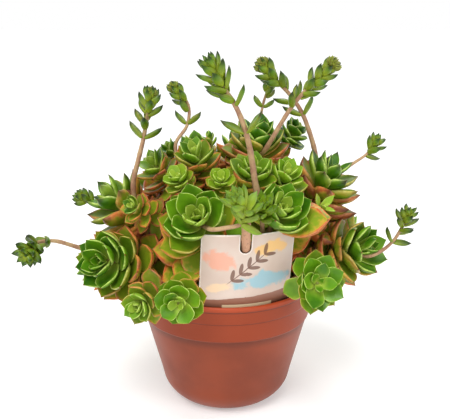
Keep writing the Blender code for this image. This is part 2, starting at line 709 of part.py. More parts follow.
def build():
    clear_scene()
    group = new_collection("potted_echeveria")
    cutters = new_collection("cutters")
    bench = new_collection("bench")
    pot_mat = material("clay_plastic", (0.40, 0.115, 0.06), 0.42)
    soil_mat = material("compost", (0.035, 0.022, 0.014), 0.95)
    label_mat = material("label_card", (0.80, 0.66, 0.55), 0.45)
    leaf_mat = material("leaf_green", (0.13, 0.26, 0.025), 0.38)
    pale_mat = material("leaf_pale_green", (0.30, 0.42, 0.08), 0.38)
    stalk_mat = material("stalk", (0.20, 0.24, 0.06), 0.45)

    heads = {row[0]: plan_head(row) for row in HEADS}
    stems = {plan["name"]: add_stem(plan, bench) for plan in heads.values()}
    stalks = [plan_stalk(row, heads, bench) for row in STALKS]
    stems.update({plan["name"]: add_stem(plan, bench) for plan in stalks})
    seats = [(p["name"], p["foot"], p["radius"]) for p in heads.values()]
    seats += [(p["name"], p["foot"], p["radius"]) for p in stalks if p["own_seat"]]

    pot = make_pot(group, cutters, pot_mat)
    label = make_label(group, cutters, label_mat)
    soil = make_soil(group, cutters, soil_mat, seats)
    for obj in (pot, label, soil):
        note_object(obj.name, obj)

    blades = {name: [] for name in stems}
    for number, (row, plan) in enumerate(zip(STALKS, stalks)):
        for entry in stalk_leaves(row, plan["points"], random.Random(100 + number)):
            leaf = set_leaf(plan["name"], plan["points"], entry)
            if leaf:
                blades[plan["name"]].append(leaf)
    note_label_front(bench)
    queue = []
    for number, plan in enumerate(heads.values()):
        for entry in head_leaves(plan, random.Random(number)):
            queue.append((entry[0], number, plan, entry))
    queue.sort(key=lambda item: item[:2])
    for _, _, plan, entry in queue:
        leaf = set_leaf(plan["name"], plan["points"], entry, plan["axis"])
        if leaf:
            blades[plan["name"]].append(leaf)

    for plan in heads.values():
        mat = pale_mat if plan["style"] in PALE_STYLES else leaf_mat
        fuse(plan["name"], stems[plan["name"]], blades[plan["name"]], group, mat)
    for plan in stalks:
        fuse(plan["name"], stems[plan["name"]], blades[plan["name"]], group, stalk_mat)
    bpy.data.collections.remove(bench)
    cutters.hide_render = True
    for row in HEADS:
        print(row[0], "leaves", len(blades[row[0]]), "of", row[5])
    print("triangles", sum(len(p.vertices) - 2 for o in group.objects for p in o.data.polygons))


build()
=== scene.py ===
# Potted echeveria: the looks. Fleshy rosettes and flower stalks in a clay-coloured plastic pot with a card
# label. Metres, +Z up, the front at -Y, turns counted from the front towards +X.
import functools
import math
import random

import bpy
import numpy as np
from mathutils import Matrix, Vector
from mathutils.bvhtree import BVHTree


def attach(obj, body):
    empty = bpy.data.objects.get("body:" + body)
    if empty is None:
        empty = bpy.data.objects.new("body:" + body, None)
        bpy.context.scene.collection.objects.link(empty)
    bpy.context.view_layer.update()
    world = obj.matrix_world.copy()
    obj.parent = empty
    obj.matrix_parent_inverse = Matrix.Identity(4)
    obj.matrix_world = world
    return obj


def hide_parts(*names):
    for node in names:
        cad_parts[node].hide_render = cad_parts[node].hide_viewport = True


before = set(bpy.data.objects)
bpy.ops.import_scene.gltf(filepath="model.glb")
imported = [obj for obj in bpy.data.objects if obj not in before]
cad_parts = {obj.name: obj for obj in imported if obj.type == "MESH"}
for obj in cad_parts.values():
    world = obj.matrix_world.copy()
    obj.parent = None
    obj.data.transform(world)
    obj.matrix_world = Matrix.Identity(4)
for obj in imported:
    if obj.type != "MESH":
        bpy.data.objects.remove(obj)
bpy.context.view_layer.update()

mm = 0.001

# Camera, read off the pot's ellipses: it looks along +Y and a little down on the rim
camera = {
    "place": (0.0, -0.56382, 0.30721),
    "down": 14.679,  # degrees below level
    "lens": 57.12,
    "sensor": 36.0,
    "photoWidth": 450,  # pixels
    "middleColumn": 226.3,  # pixel column of the pot's axis
}

studio = {
    "floorHex": "dcdcdb",
    "floorGlow": 0.32,  # light from under the white sheet, which thins the shadow
    "floorSize": 60.0,
    "air": (0.15, 0.7, 1.0, 0.36),  # from and to of the height looked at, and the brightness at each
    "sunFrom": (-0.30, -0.70, 1.20),
    "sunPower": 2.5,
    "sunSpread": 36.0,  # degrees, for soft shadow edges
    "lampAim": (0.0, 0.0, 0.13),
    "lamps": [  # place, size in metres, watts, colour
        ((0.85, -0.75, 0.75), 0.6, 3.0, "f6f9ff"),
        ((-0.12, -0.95, 0.42), 0.8, 1.2, "ffffff"),
        ((0.15, 0.70, 1.10), 0.6, 5.0, "fffdf4"),
    ],
}

smoothStep = {"interpolation_type": "SMOOTHSTEP"}
colorMix = {"data_type": "RGBA"}  # on such a node sockets 0, 6 and 7 are the share and the two colours


def linear(hexText):
    # sRGB hex to linear: divided by 12.92 low down, and a power of 2.4 above
    raw = [int(hexText[i:i + 2], 16) / 255 for i in (0, 2, 4)]
    return tuple(c / 12.92 if c <= 0.04045 else ((c + 0.055) / 1.055) ** 2.4 for c in raw) + (1.0,)


def feed(node, inputs):
    # Each input, by its name or number, is linked or given a value
    for name, value in inputs.items():
        if isinstance(value, bpy.types.NodeSocket):
            node.id_data.links.new(value, node.inputs[name])
        else:
            node.inputs[name].default_value = value


def addNode(tree, kind, inputs=(), out=0, **settings):
    # One node with its settings and its inputs, which are named or run in order from a list. One output
    # comes back, or all of them where out is None.
    node = tree.nodes.new("ShaderNode" + kind)
    for key, value in settings.items():
        setattr(node, key, value)
    feed(node, inputs if isinstance(inputs, dict) else dict(enumerate(inputs)))
    return node.outputs if out is None else node.outputs[out]


def newMaterial(name):
    # The material, what adds a node to it, and its shader
    made = bpy.data.materials.new(name)
    made.use_nodes = True
    return made, functools.partial(addNode, made.node_tree), made.node_tree.nodes["Principled BSDF"]


def coat(add, below, layer, value, thinning=None):
    # One colour over another. The layer holds its colour and a span: from and to of the value that brings
    # it in, then its least and most share there, 0 and 1 if not given. A second value may thin it.
    colorHex, *span = layer
    share = add("MapRange", [value, *span], **smoothStep)
    if thinning:
        share = add("Math", [share, thinning], operation="MULTIPLY")
    return add("Mix", {0: share, 6: below, 7: linear(colorHex)}, 2, **colorMix)


# Mesh making

def putObject(name, data, place=(0, 0, 0), turn=(0, 0, 0)):
    made = bpy.data.objects.new(name, data)
    made.location = place
    made.rotation_euler = turn
    bpy.context.scene.collection.objects.link(made)
    return made


def meshPiece(name, points, quads, triangles, materials, materialIndex=None, attributes=None):
    # A finished object at the origin, from arrays of points and faces
    mesh = bpy.data.meshes.new(name)
    mesh.from_pydata(points.tolist(), [], quads.tolist() + triangles.tolist(), shade_flat=False)
    if materialIndex is not None:
        mesh.polygons.foreach_set("material_index", materialIndex.astype(np.int32))
    for key, values in (attributes or {}).items():
        layer = mesh.attributes.new(key, "FLOAT_VECTOR", "POINT")
        layer.data.foreach_set("vector", values.astype(np.float32).ravel())
    for material in materials:
        mesh.materials.append(material)
    return putObject(name, mesh)


def standFor(piece, node):
    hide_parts(node)
    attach(piece, "root")


def gridFaces(rows, columns, wrap):
    # Quads between neighbours of a grid of points, row by row, wrapped round its columns if asked
    row = np.arange(rows - 1)[:, None] * columns
    column = np.arange(columns if wrap else columns - 1)
    here, beside = row + column, row + (column + 1) % columns
    return np.stack([here, beside, beside + columns, here + columns], axis=-1).reshape(-1, 4)


def fanFaces(centre, ring, flip):
    # Triangles from a point to each side of a closed ring
    middle, after = np.full(len(ring), centre), np.roll(ring, -1)
    return np.stack((middle, after, ring) if flip else (middle, ring, after), axis=-1)


def closedFaces(rows, columns, flip):
    # Faces of a grid wrapped round its columns and closed by a point before its first row and one after its
    # last, which come after the grid's own points
    count = rows * columns
    quads = gridFaces(rows, columns, True)
    first = fanFaces(count, np.arange(columns), not flip)
    last = fanFaces(count + 1, count - columns + np.arange(columns), flip)
    return quads[:, ::-1] if flip else quads, np.concatenate([first, last])


def turnedSurface(profile, steps):
    # A profile of (radius, height), from above to below or from inside to outside, turned about Z. Its
    # first and last points lie on the axis.
    turn = np.linspace(0, 2 * np.pi, steps, endpoint=False)
    r = profile[1:-1, 0][:, None]
    z = profile[1:-1, 1][:, None] + 0 * turn[None, :]
    body = np.stack([r * np.cos(turn), r * np.sin(turn), z], axis=-1).reshape(-1, 3)
    ends = np.array([[0, 0, profile[0, 1]], [0, 0, profile[-1, 1]]])
    quads, triangles = closedFaces(len(profile) - 2, steps, False)
    return np.concatenate([body, ends]), quads[:, ::-1], triangles[:, ::-1]


def roundedProfile(corners, reaches, arcPoints=5, most=0.45):
    # Straight runs between the corners, each corner rounded by a quadratic curve that takes no more than
    # the given share of a run
    points = [corners[0]]
    for before, corner, after, radius in zip(corners, corners[1:], corners[2:], reaches[1:]):
        before, corner, after = (np.array(p, float) for p in (before, corner, after))
        toBefore, toAfter = before - corner, after - corner
        reach = min(radius, most * np.linalg.norm(toBefore), most * np.linalg.norm(toAfter))
        start = corner + toBefore / np.linalg.norm(toBefore) * reach
        end = corner + toAfter / np.linalg.norm(toAfter) * reach
        t = np.linspace(0, 1, arcPoints)[:, None]
        points.extend((1 - t) ** 2 * start + 2 * t * (1 - t) * corner + t ** 2 * end)
    points.append(corners[-1])
    return np.array([tuple(p) for p in points], float)


def addRuns(profile, longest):
    # Extra points along runs that are longer than a step
    made = [profile[0]]
    for a, b in zip(profile, profile[1:]):
        count = max(1, int(np.ceil(np.linalg.norm(b - a) / longest)))
        made.extend(a + (b - a) * np.arange(1, count + 1)[:, None] / count)
    return np.array(made)


def latticeNoise(x, y, cell, seed, size=64):
    # Random heights on a square lattice, blended smoothly between its corners
    table = np.random.default_rng(seed).random((size, size))
    gx, gy = x / cell, y / cell
    i, j = np.floor(gx).astype(int), np.floor(gy).astype(int)
    fx, fy = gx - i, gy - j
    fx, fy = fx * fx * (3 - 2 * fx), fy * fy * (3 - 2 * fy)
    near, far = [table[i % size, k % size] * (1 - fx) + table[(i + 1) % size, k % size] * fx
                 for k in (j, j + 1)]
    return near * (1 - fy) + far * fy


# Directions and routes, the same rules as the solids follow

def direction(turn, height):
    a, h = math.radians(turn), math.radians(height)
    return Vector((math.sin(a) * math.cos(h), -math.cos(a) * math.cos(h), math.sin(h)))


def bezier(p0, p1, p2, p3, fractions):
    return [p0 * (1 - t) ** 3 + p1 * (3 * (1 - t) ** 2 * t) + p2 * (3 * (1 - t) * t * t) + p3 * t ** 3
            for t in fractions]


def catmullRom(points, perSpan):
    dense = []
    padded = [points[0] * 2 - points[1]] + list(points) + [points[-1] * 2 - points[-2]]
    for a, b, c, d in zip(padded, padded[1:], padded[2:], padded[3:]):
        for i in range(perSpan):
            t = i / perSpan
            dense.append(0.5 * (2 * b + (c - a) * t + (2 * a - 5 * b + 4 * c - d) * t * t
                                + (3 * b - a - 3 * c + d) * t ** 3))
    dense.append(points[-1].copy())
    return dense


def placeOn(points, fromEnd):
    # The place and the heading on a polyline, at a distance back from its last point
    left = fromEnd
    for a, b in zip(reversed(points[:-1]), reversed(points[1:])):
        run = (b - a).length
        if left <= run:
            return b + (a - b) * (left / run), (b - a).normalized()
        left -= run
    return points[0].copy(), (points[1] - points[0]).normalized()


def smoothRoute(points):
    # As many points as the route has, 5 at least, spaced evenly along its curve
    count = max(5, len(points))
    dense = catmullRom(points, 8)
    total = sum((b - a).length for a, b in zip(dense, dense[1:]))
    return [placeOn(dense, total * (1 - i / (count - 1)))[0] for i in range(count)]


def sideVectors(heading):
    level = heading.cross(Vector((0, 0, 1)))
    if level.length < 0.05:
        level = Vector((1, 0, 0))
    level.normalize()
    return level, level.cross(heading).normalized()


def outwardFrom(heading, turn):
    # The side of a stem that a turn in degrees about it gives
    level, up = sideVectors(heading)
    return level * math.cos(math.radians(turn)) + up * math.sin(math.radians(turn))


# Clump: places and sizes are those of the solids, in mm and degrees
clump = {
    "middle": Vector((0, 0, 98.0)) * mm,
    "stemSeats": (8.0, 46.0),
    "seatPower": 1.2,
    "soilEdge": 94.0,
    "soilMiddle": 96.5,
    "holeDepth": 8.0,
    "stemOut": 12.0,  # how far up the stem's first bend is
    "stemRise": 34.0,
    "stemBack": 0.45,  # most of the way from heart to foot that the stem's last bend takes
    "stemSteps": (0, 0.42, 0.74, 1.0),
    "stemRadii": [(22, 3.4), (15, 2.7), (0, 1.9)],  # least leaf length, radius
    "stemTaper": 0.45,
    "leafTurn": 137.5,  # golden angle; the solids carry every second leaf
    "youngest": 0.14,
    "firstDepth": 1.2,
    "depthPower": 1.6,
    "youngSize": 0.34,
    "youngPower": 0.9,
    "youngCurl": 0.4,
    "anglePower": 0.8,
    "grownAge": 0.5,
    "turning": 0.42,  # the age over which the warm colour comes in
    "heartSize": 0.45,  # length of the very first heart leaves to that of the youngest in the solids
    "lengthJitter": 0.05,
    "angleJitter": 3.0,
    "leafJitter": 5.0,
    "thinnest": 1.2,
    "denseFrom": 0.34,  # age from which every second leaf of the spiral is added
    "facingShare": 0.75,  # how far old leaves face as the heart does, not as the stem under them
    "plainBelow": 19.0,  # leaves shorter than this have one section in the solids
    "looseShade": -0.35,  # what a loose leaf's tone adds to its rosette's
    "looseWarm": 0.6,  # how warm a loose leaf is beside its rosette's old leaves
    "pressed": 1,  # other rosettes' leaves that an added leaf may press into
    "pressedLeast": 0.85,  # and the share of its length that such a leaf keeps at least
    "youngStretch": 0.35,  # how much longer than the solid's the youngest leaves grow
}

# Styles of rosette: width to length, angle of the youngest and the oldest leaf, curl, thickness to width,
# growth of the oldest leaves, how many heart leaves and old leaves are added, leaf form, plumper thickness,
# bronze flush of the old leaves, paleness, hollow face, and a slot name
styleKeys = ("share", "first", "last", "curl", "thick", "outgrown", "hearts", "old", "form", "plump",
             "flush", "pale", "hollow", "slot")
styleRows = {
    "full": (0.62, 12, 92, 22, 0.15, 1.15, 5, 9, "rosette", 1.4, 1.0, 0.10, 0.22, "leaf_green"),
    "cup": (0.66, 12, 82, 20, 0.16, 1.15, 4, 4, "rosette", 1.35, 0.75, 0.25, 0.26, "leaf_green"),
    "open": (0.78, 30, 92, 12, 0.12, 1.0, 3, 2, "spoon", 1.3, 0.25, 0.45, 0.24, "leaf_pale_green"),
    "star": (0.60, 34, 94, 10, 0.13, 1.0, 3, 2, "rosette", 1.3, 0.22, 0.30, 0.26, "leaf_pale_green"),
    "few": (0.70, 20, 76, 14, 0.15, 1.0, 2, 2, "spoon", 1.3, 0.30, 0.60, 0.34, "leaf_pale_green"),
    "sprig": (0.40, 24, 76, 8, 0.18, 1.0, 1, 0, "sprig", 1.2, 0.30, 0.85, 0.22, "leaf_pale_green"),
    "long": (0.46, 16, 94, 18, 0.18, 1.3, 4, 8, "long", 1.85, 0.95, 0.02, 0.28, "leaf_green"),
    "bud": (0.48, 12, 60, 8, 0.24, 1.0, 2, 0, "rosette", 1.3, 0.15, 0.15, 0.20, "leaf_green"),
}
styles = {name: dict(zip(styleKeys, row)) for name, row in styleRows.items()}
sparseStyles = ("sprig",)  # without in-between leaves

# Where one rosette differs from its style: looks, how many old leaves go on beyond the solid's, and loose
# ones by their turn, depth below the heart, length and angle
headLooks = {
    "head_01": {"pale": 0.22, "tone": 0.62, "old": 16, "greenTo": 0.46},
    "head_02": {"pale": 0.15, "tone": 0.6, "old": 16, "greenTo": 0.45, "pressed": 3,
                "loose": [(194, 15, 43, 76), (204, 17, 45, 80), (214, 22, 47, 84), (212, 38, 56, 90),
                          (222, 42, 56, 93), (230, 44, 56, 94)]},
    "head_03": {"pale": 0.75},
    "head_04": {"pale": 0.8},
    "head_05": {"pale": 0.45, "flush": 0.35, "tone": 0.8},
    "head_06": {"pale": 0.5, "flush": 0.35, "tone": 0.8},
    "head_07": {"tone": 0.12, "pale": 0.0, "flush": 0.95, "old": 20, "pressed": 4, "wide": 1.18,
                "stretch": 0.55, "ageFrom": 0.3,
                "loose": [(turn, 15 + turn % 9, 33, 88) for turn in range(10, 351, 34)]},
    "head_08": {"tone": 0.1, "pale": 0.0, "flush": 0.05, "old": 2, "wide": 1.45, "pressed": 3},
    "head_10": {"pale": 0.2, "old": 14, "pressed": 2, "tone": 0.38},
    "head_11": {"pale": 0.3, "flush": 0.85, "old": 16, "pressed": 3, "tone": 0.35},
    "head_12": {"tone": 0.1},
    "head_13": {"dark": 0.8, "flush": 0.95, "tone": 0.4, "old": 18, "pressed": 4},
    "head_14": {"pale": 0.2, "flush": 0.9, "old": 14, "pressed": 2, "tone": 0.2},
    "head_15": {"pale": 0.0, "tone": 0.3, "flush": 0.85, "old": 15, "ageFrom": 0.3, "greenTo": 0.44},
    "head_16": {"pale": 0.4, "flush": 0.35, "bloom": 0.08, "wide": 1.08, "ageFrom": 0.12},
    "head_17": {"pale": 0.12, "tone": 0.6, "ageFrom": 0.14},
    "head_18": {"pale": 0.05, "tone": 0.55, "ageFrom": 0.3, "wide": 1.14},
    "head_19": {"flush": 0.9, "tone": 0.35, "old": 14, "pressed": 2, "ageFrom": 0.3},
    "head_20": {"dark": 0.8, "flush": 1.0, "tone": 0.2, "old": 14, "pressed": 2, "ageFrom": 0.3},
}

# name, style, place (turn, height, reach), facing (turn, height), leaf length, leaves, leafy length
headRows = [
    ("head_01", "full", (-17.2, 46, 102), (-8, 33), 37, 23, 54),
    ("head_02", "full", (32, 46, 108), (20, 40), 33, 22, 52),
    ("head_03", "few", (-42, 61, 111), (-30, 50), 15, 7, 10),
    ("head_04", "few", (-4, 62, 111), (0, 48), 14, 7, 10),
    ("head_05", "cup", (26, 67, 112), (10, 58), 23, 12, 24),
    ("head_06", "cup", (54, 60, 113), (32, 54), 21, 11, 24),
    ("head_07", "full", (115, 76, 122), (20, 74), 29, 23, 40),
    ("head_08", "cup", (119, 62, 141), (70, 50), 14, 8, 14),
    ("head_09", "bud", (-110, 83, 122), (-100, 62), 9, 5, 7),
    ("head_10", "full", (-62, 76, 113), (-20, 66), 24, 12, 26),
    ("head_11", "full", (-90, 60, 116), (-60, 50), 20, 12, 24),
    ("head_12", "bud", (-112, 65, 120), (-90, 60), 13, 6, 9),
    ("head_13", "long", (-89, 38, 115), (-78, 42), 35, 18, 46),
    ("head_14", "cup", (-60, 43, 111), (-35, 25), 14, 8, 12),
    ("head_15", "full", (-61.5, 18, 112), (-24, 18), 34, 21, 52),
    ("head_16", "cup", (-34, 8, 112), (-24, -2), 18, 9, 16),
    ("head_17", "open", (-17.5, 11.5, 112), (-8, 2), 19, 9, 12),
    ("head_18", "star", (37, 15.5, 112), (10, 20), 24, 11, 14),
    ("head_19", "full", (80, 17, 116), (46, 18), 32, 20, 50),
    ("head_20", "long", (87, 48, 124), (66, 60), 33, 20, 46),
    ("head_21", "sprig", (63, 42, 112), (40, 25), 14, 6, 8),
    ("head_22", "full", (126, 38, 113), (128, 40), 36, 13, 38),
    ("head_23", "full", (158, 42, 114), (156, 44), 34, 12, 38),
    ("head_24", "full", (-170, 40, 113), (-172, 44), 36, 13, 38),
    ("head_25", "full", (-138, 43, 113), (-140, 44), 36, 13, 38),
    ("head_26", "cup", (-112, 30, 112), (-108, 26), 24, 9, 24),
    ("head_27", "full", (110, 12, 113), (108, 14), 36, 12, 38),
    ("head_28", "cup", (137, 14, 112), (139, 12), 24, 9, 24),
    ("head_29", "full", (163, 12, 113), (163, 14), 36, 12, 38),
    ("head_30", "open", (-170, 10, 112), (-168, 8), 24, 9, 14),
    ("head_31", "full", (-143, 13, 113), (-144, 14), 36, 12, 38),
    ("head_32", "cup", (-117, 8, 112), (-115, 6), 24, 10, 24),
    ("head_33", "full", (-93, 8, 112), (-84, 8), 28, 11, 30),
    ("head_34", "full", (165, 66, 113), (165, 70), 28, 10, 26),
    ("head_35", "full", (-150, 64, 114), (-152, 66), 28, 10, 26),
]
seatTurns = {"head_17": (-27, 50), "head_18": (64, 55)}

# name, parent head, distance down its stem, route, (foot, tip) radius, leaf length, leaves, leafy length,
# distances of the leaf pairs from the tip
stalkRows = [
    ("stalk_01", "head_15", 24, [(-98, -26, 128), (-112, -27, 134), (-126, -33, 141), (-138, -38, 145),
     (-146, -45, 144), (-150, -56, 139)], (1.9, 1.3), 15, 9, 13, (23,)),
    ("stalk_02", "head_13", 14, [(-99, -1, 161), (-109, -1, 165), (-119, -1, 171)],
     (1.4, 1.1), 12, 7, 11, ()),
    ("stalk_03", "head_13", 34, [(-74, -11, 172), (-73, -12, 188), (-68, -14, 206), (-64, -15, 221),
     (-61, -15, 236), (-58, -15, 254)], (2.3, 1.3), 15, 10, 26, (34,)),
    ("stalk_04", "head_10", 22, [(-42, -2, 206), (-35, 1, 222), (-29, 3, 233), (-31, 5, 246),
     (-41, 5, 257)], (1.5, 1.1), 13, 8, 22, (32,)),
    ("stalk_05", "head_02", 20, [(24, -56, 182), (20, -58, 200), (18, -60, 214), (14, -65, 232),
     (10, -68, 243), (5, -70, 254), (-3, -72, 266), (-10, -74, 279)], (2.5, 1.4), 18, 12, 32, (54,)),
    ("stalk_06", "head_07", 20, [(28, 32, 216), (29, 43, 230), (32, 45, 243), (36, 45, 256)],
     (1.4, 1.0), 11, 6, 10, (19,)),
    ("stalk_07", "head_07", 16, [(32, -6, 211), (37, -7, 221), (45, -9, 235), (54, -11, 249),
     (66, -13, 262), (74, -14, 268), (79, -15, 275)], (2.0, 1.2), 15, 12, 42, ()),
    ("stalk_08", "head_20", 20, [(74, 10, 197), (69, 12, 216), (63, 13, 233), (55, 14, 246),
     (46, 15, 257), (37, 16, 265), (30, 17, 273)], (2.2, 1.3), 16, 10, 26, (38, 50)),
    ("stalk_09", "head_20", 14, [(98, -1, 195), (106, 0, 201), (113, 0, 206), (120, 0, 216)],
     (1.3, 1.0), 14, 7, 14, ()),
    ("stalk_10", "head_19", 14, [(113, -26, 128), (122, -28, 133), (130, -31, 142), (135, -33, 152),
     (140, -34, 166)], (1.5, 1.1), 14, 8, 18, (27,)),
    ("stalk_11", None, 0, [(25, -42, 110), (27, -50, 138), (27, -57, 155), (26, -66, 168),
     (25, -79, 183)], (2.1, 1.5), 18, 9, 16, ()),
    ("stalk_12", "head_01", 10, [(-9, -88, 168), (0, -90, 170), (9, -90, 172), (14, -91, 177),
     (12, -95, 185), (7, -98, 192)], (1.7, 1.3), 17, 12, 24, ()),
]
stalks = {
    "crowded": ("stalk_11", "stalk_12"),  # with every leaf of the spiral
    "tipShare": 1.3,  # share of the others' leaves, from the tip, among which in-between ones stand
    "slim": 0.88,  # width of the spiral leaves to those of the solid, which are half as many
    "early": 3,  # small leaves added at the tip
    "angles": (14, 22, 6),  # the first leaf's, what is added to it, and after how many leaves
    "angleJitter": 4.0,
    "depth": (0.6, 1.2),  # of the first leaf, and how the others' grows with their age
    "grown": (0.5, 0.12),  # size of the first leaf, and what each one adds
    "leaf": {"thick": 2.1 * mm, "curl": -6},
    "pair": {"thick": 2.0 * mm, "curl": 4, "angle": 44},
    "pairLength": 1.15,
    "width": 0.5,
    "pairJitter": 15.0,
    "look": {"flush": 0.1, "pale": 0.0, "hollow": 0.3, "dark": 0.85, "tone": 0.4, "stretch": 0.15,
             "plump": 1.5, "spread": 5.0},
}
budded = {  # stalks whose tip holds a knob of flower buds: how many, and their length in mm
    "stalk_03": (24, 5.6), "stalk_04": (26, 5.6), "stalk_07": (52, 7.6), "stalk_08": (52, 7.8),
}
stalkLooks = {
    "stalk_01": {"spread": 26.0, "wide": 1.25},
    "stalk_02": {"spread": 14.0, "wide": 1.1},
    "stalk_03": {"spread": 8.0, "tone": 0.3},
    "stalk_05": {"spread": 6.0, "wide": 0.88, "plump": 1.25, "tone": 0.75},
    "stalk_09": {"spread": 16.0, "plump": 1.2, "tone": 0.25},
    "stalk_10": {"spread": 18.0, "plump": 1.2, "tone": 0.15},
    "stalk_11": {"pale": 0.5, "dark": 0.3, "tone": 0.8},
    "stalk_12": {"pale": 0.55, "dark": 0.15, "bloom": 0.08, "tone": 0.7},
}
# The leafy shoot in front of the label also has a bare stem from the soil, which leans out through the notch
notchStem = {
    "stalk": "stalk_12",
    "radii": (3.7, 3.1),
    "route": [(13, -52, 94), (14, -57, 125), (14.2, -62.5, 141), (14.2, -70.5, 152), (14, -79, 165),
              (14, -89, 176)],
}
bark = {  # by kind of stem: sides, points to a span, and its knots' swelling and spacing
    "head": (10, 9, 0.16, 5 * mm),
    "stalk": (12, 6, 0.10, 14 * mm),
    "notch": (16, 6, 0.10, 14 * mm),
    "taper": 1.2,
    "blunt": 0.6,  # how far the tip bulges, in its radii
    "across": (0.31, 0.17, 0.11),  # a heading that no stem takes, from which the rings are turned
}

# Random draws start from these and the row's number, so that each run gives the same plant
seeds = {"headLeaves": 0, "headExtras": 500, "headLooks": 900,
         "stalkLeaves": 100, "stalkExtras": 600, "stalkLooks": 700}

# What a solid's leaf may have taken to stay clear of its neighbours: degrees of bend, share of its length
bends = [(0, 1.0), (-7, 1.0), (7, 1.0), (-14, 0.95), (16, 1.0), (0, 0.85), (28, 0.95), (-14, 0.75),
         (40, 0.9), (0, 0.68), (-22, 0.7), (0, 0.52)]
coarseBlade = {
    "steps": (0.46, 0.80, 1.0),  # shares of the length where the solid's sections and its tip are
    "plainSteps": (0.56, 1.0),
    "halves": {0.56: (0.5, 1.0), 0.46: (0.44, 1.0), 0.80: (0.45, 0.72)},  # half width and depth there
    "channel": 0.16,
    "tipLift": 0.03,
    "cutWidth": (0.4, 0.6),  # a shortened leaf keeps this share of its width, and the rest by its length
    "grow": 0.3 * mm,
    "match": 0.03 * mm,
}

label = {
    "turn": 14.5,
    "radius": 63.96,
    "foot": 100.0,
    "top": 160.0,
    "slope": 0.18,
    "halfWidth": 35.5,
    "thickness": 0.7,
    "tongueHalfWidth": 19.0,
    "tongueBottom": 82.0,
    "notchMiddle": -4.3,
    "notchHalfWidth": 4.3,
    "notchDepth": 15.0,
    "corner": 3.0,
    "rows": 60,
    "columnStep": 1.2,
    "hair": 0.02,  # between doubled columns
    "cornerPoints": 8,
    "notchPoints": 13,
    "plainBorder": 9.0,  # border value inside the notch, out of the printed edge's reach
    "frontInset": 8.0,  # the space before the card that leaves keep out of, in from its sides
    "frontGap": 1.0,
    "frontReach": 130.0,  # and from the pot's axis
}


def coarsePath(shape):
    # Where the solid's blade has its sections and its tip
    root, heading, outward, length, width, thick, angle, curl, plain = shape
    centre, before, places = root.copy(), 0.0, []
    for along in coarseBlade["plainSteps" if plain else "steps"]:
        middle = math.radians(angle - curl * (along + before) / 2)
        run = (along - before) * length
        centre = centre + (heading * math.cos(middle) + outward * math.sin(middle)) * run
        here = math.radians(angle - curl * along)
        places.append((along, centre, heading * math.sin(here) - outward * math.cos(here)))
        before = along
    return places


def coarseTip(shape):
    along, centre, face = coarsePath(shape)[-1]
    return centre + face * (coarseBlade["tipLift"] * shape[3])


def coarseTree(shape):
    # A search tree of the blade that the solids would carry, a little grown
    root, heading, outward, length, width, thick, angle, curl, plain = shape
    across = outward.cross(heading).normalized()
    grow = coarseBlade["grow"]
    corners = [root]
    for along, centre, face in coarsePath(shape)[:-1]:
        half, depth = coarseBlade["halves"][along]
        side = half * width + grow
        lift = coarseBlade["channel"] * half * width
        corners += [centre + across * side + face * lift, centre - across * side + face * lift,
                    centre - face * (depth * thick + grow)]
    corners.append(coarseTip(shape))
    last = len(corners) - 1
    faces = []
    for i in range(3):
        j = (i + 1) % 3
        faces.append((0, 1 + j, 1 + i))
        if not plain:
            faces += [(1 + i, 1 + j, 4 + i), (1 + j, 4 + j, 4 + i)]
        faces.append((last - 3 + i, last - 3 + j, last))
    return BVHTree.FromPolygons([tuple(c) for c in corners], faces), sum(corners, Vector()) / len(corners)


def nodePoints(name):
    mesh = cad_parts[name].data
    points = np.zeros(len(mesh.vertices) * 3)
    mesh.vertices.foreach_get("co", points)
    return points.reshape(-1, 3)


def nodeTree(name):
    # A node's name, search tree, middle and reach
    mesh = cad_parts[name].data
    corners = nodePoints(name)
    centre = Vector(corners.mean(axis=0))
    faces = [tuple(p.vertices) for p in mesh.polygons]
    tree = BVHTree.FromPolygons(corners.tolist(), faces)
    return name, tree, centre, float(np.linalg.norm(corners - np.array(centre), axis=1).max())


def cardPlace(x, depth):
    # A place on the card, across and outward from the pot's axis, as seen from above
    a = math.radians(label["turn"])
    return x * math.cos(a) + depth * math.sin(a), x * math.sin(a) - depth * math.cos(a)


def labelFrontTree():
    # The space before the label's face, which no leaf of a head enters, as nodeTree gives it
    w = (label["halfWidth"] - label["frontInset"]) * mm
    near = (label["radius"] + (label["top"] - label["foot"]) * label["slope"] + label["frontGap"]) * mm
    far = label["frontReach"] * mm
    corners = [Vector((*cardPlace(x, depth), z * mm))
               for z in (label["foot"], label["top"] - label["frontGap"])
               for x, depth in ((-w, near), (w, near), (w, far), (-w, far))]
    faces = [(0, 1, 2, 3), (4, 5, 6, 7), (0, 1, 5, 4), (1, 2, 6, 5), (2, 3, 7, 6), (3, 0, 4, 7)]
    tree, centre = BVHTree.FromPolygons(corners, faces), sum(corners, Vector()) / len(corners)
    return "label_front", tree, centre, max((c - centre).length for c in corners)


def cutTo(shape, bend, part):
    root, heading, outward, length, width, thick, angle, curl, plain = shape
    kept, rest = coarseBlade["cutWidth"]
    width *= kept + rest * part
    return root, heading, outward, length * part, width, thick, angle + bend, curl, plain


def solidShape(shape, corners):
    # The bend and length that the solid's leaf took: its tip is then a corner of the node
    for bend, part in bends:
        tried = cutTo(shape, bend, part)
        if np.abs(corners - np.array(coarseTip(tried))).max(axis=1).min() < coarseBlade["match"]:
            return tried
    return None


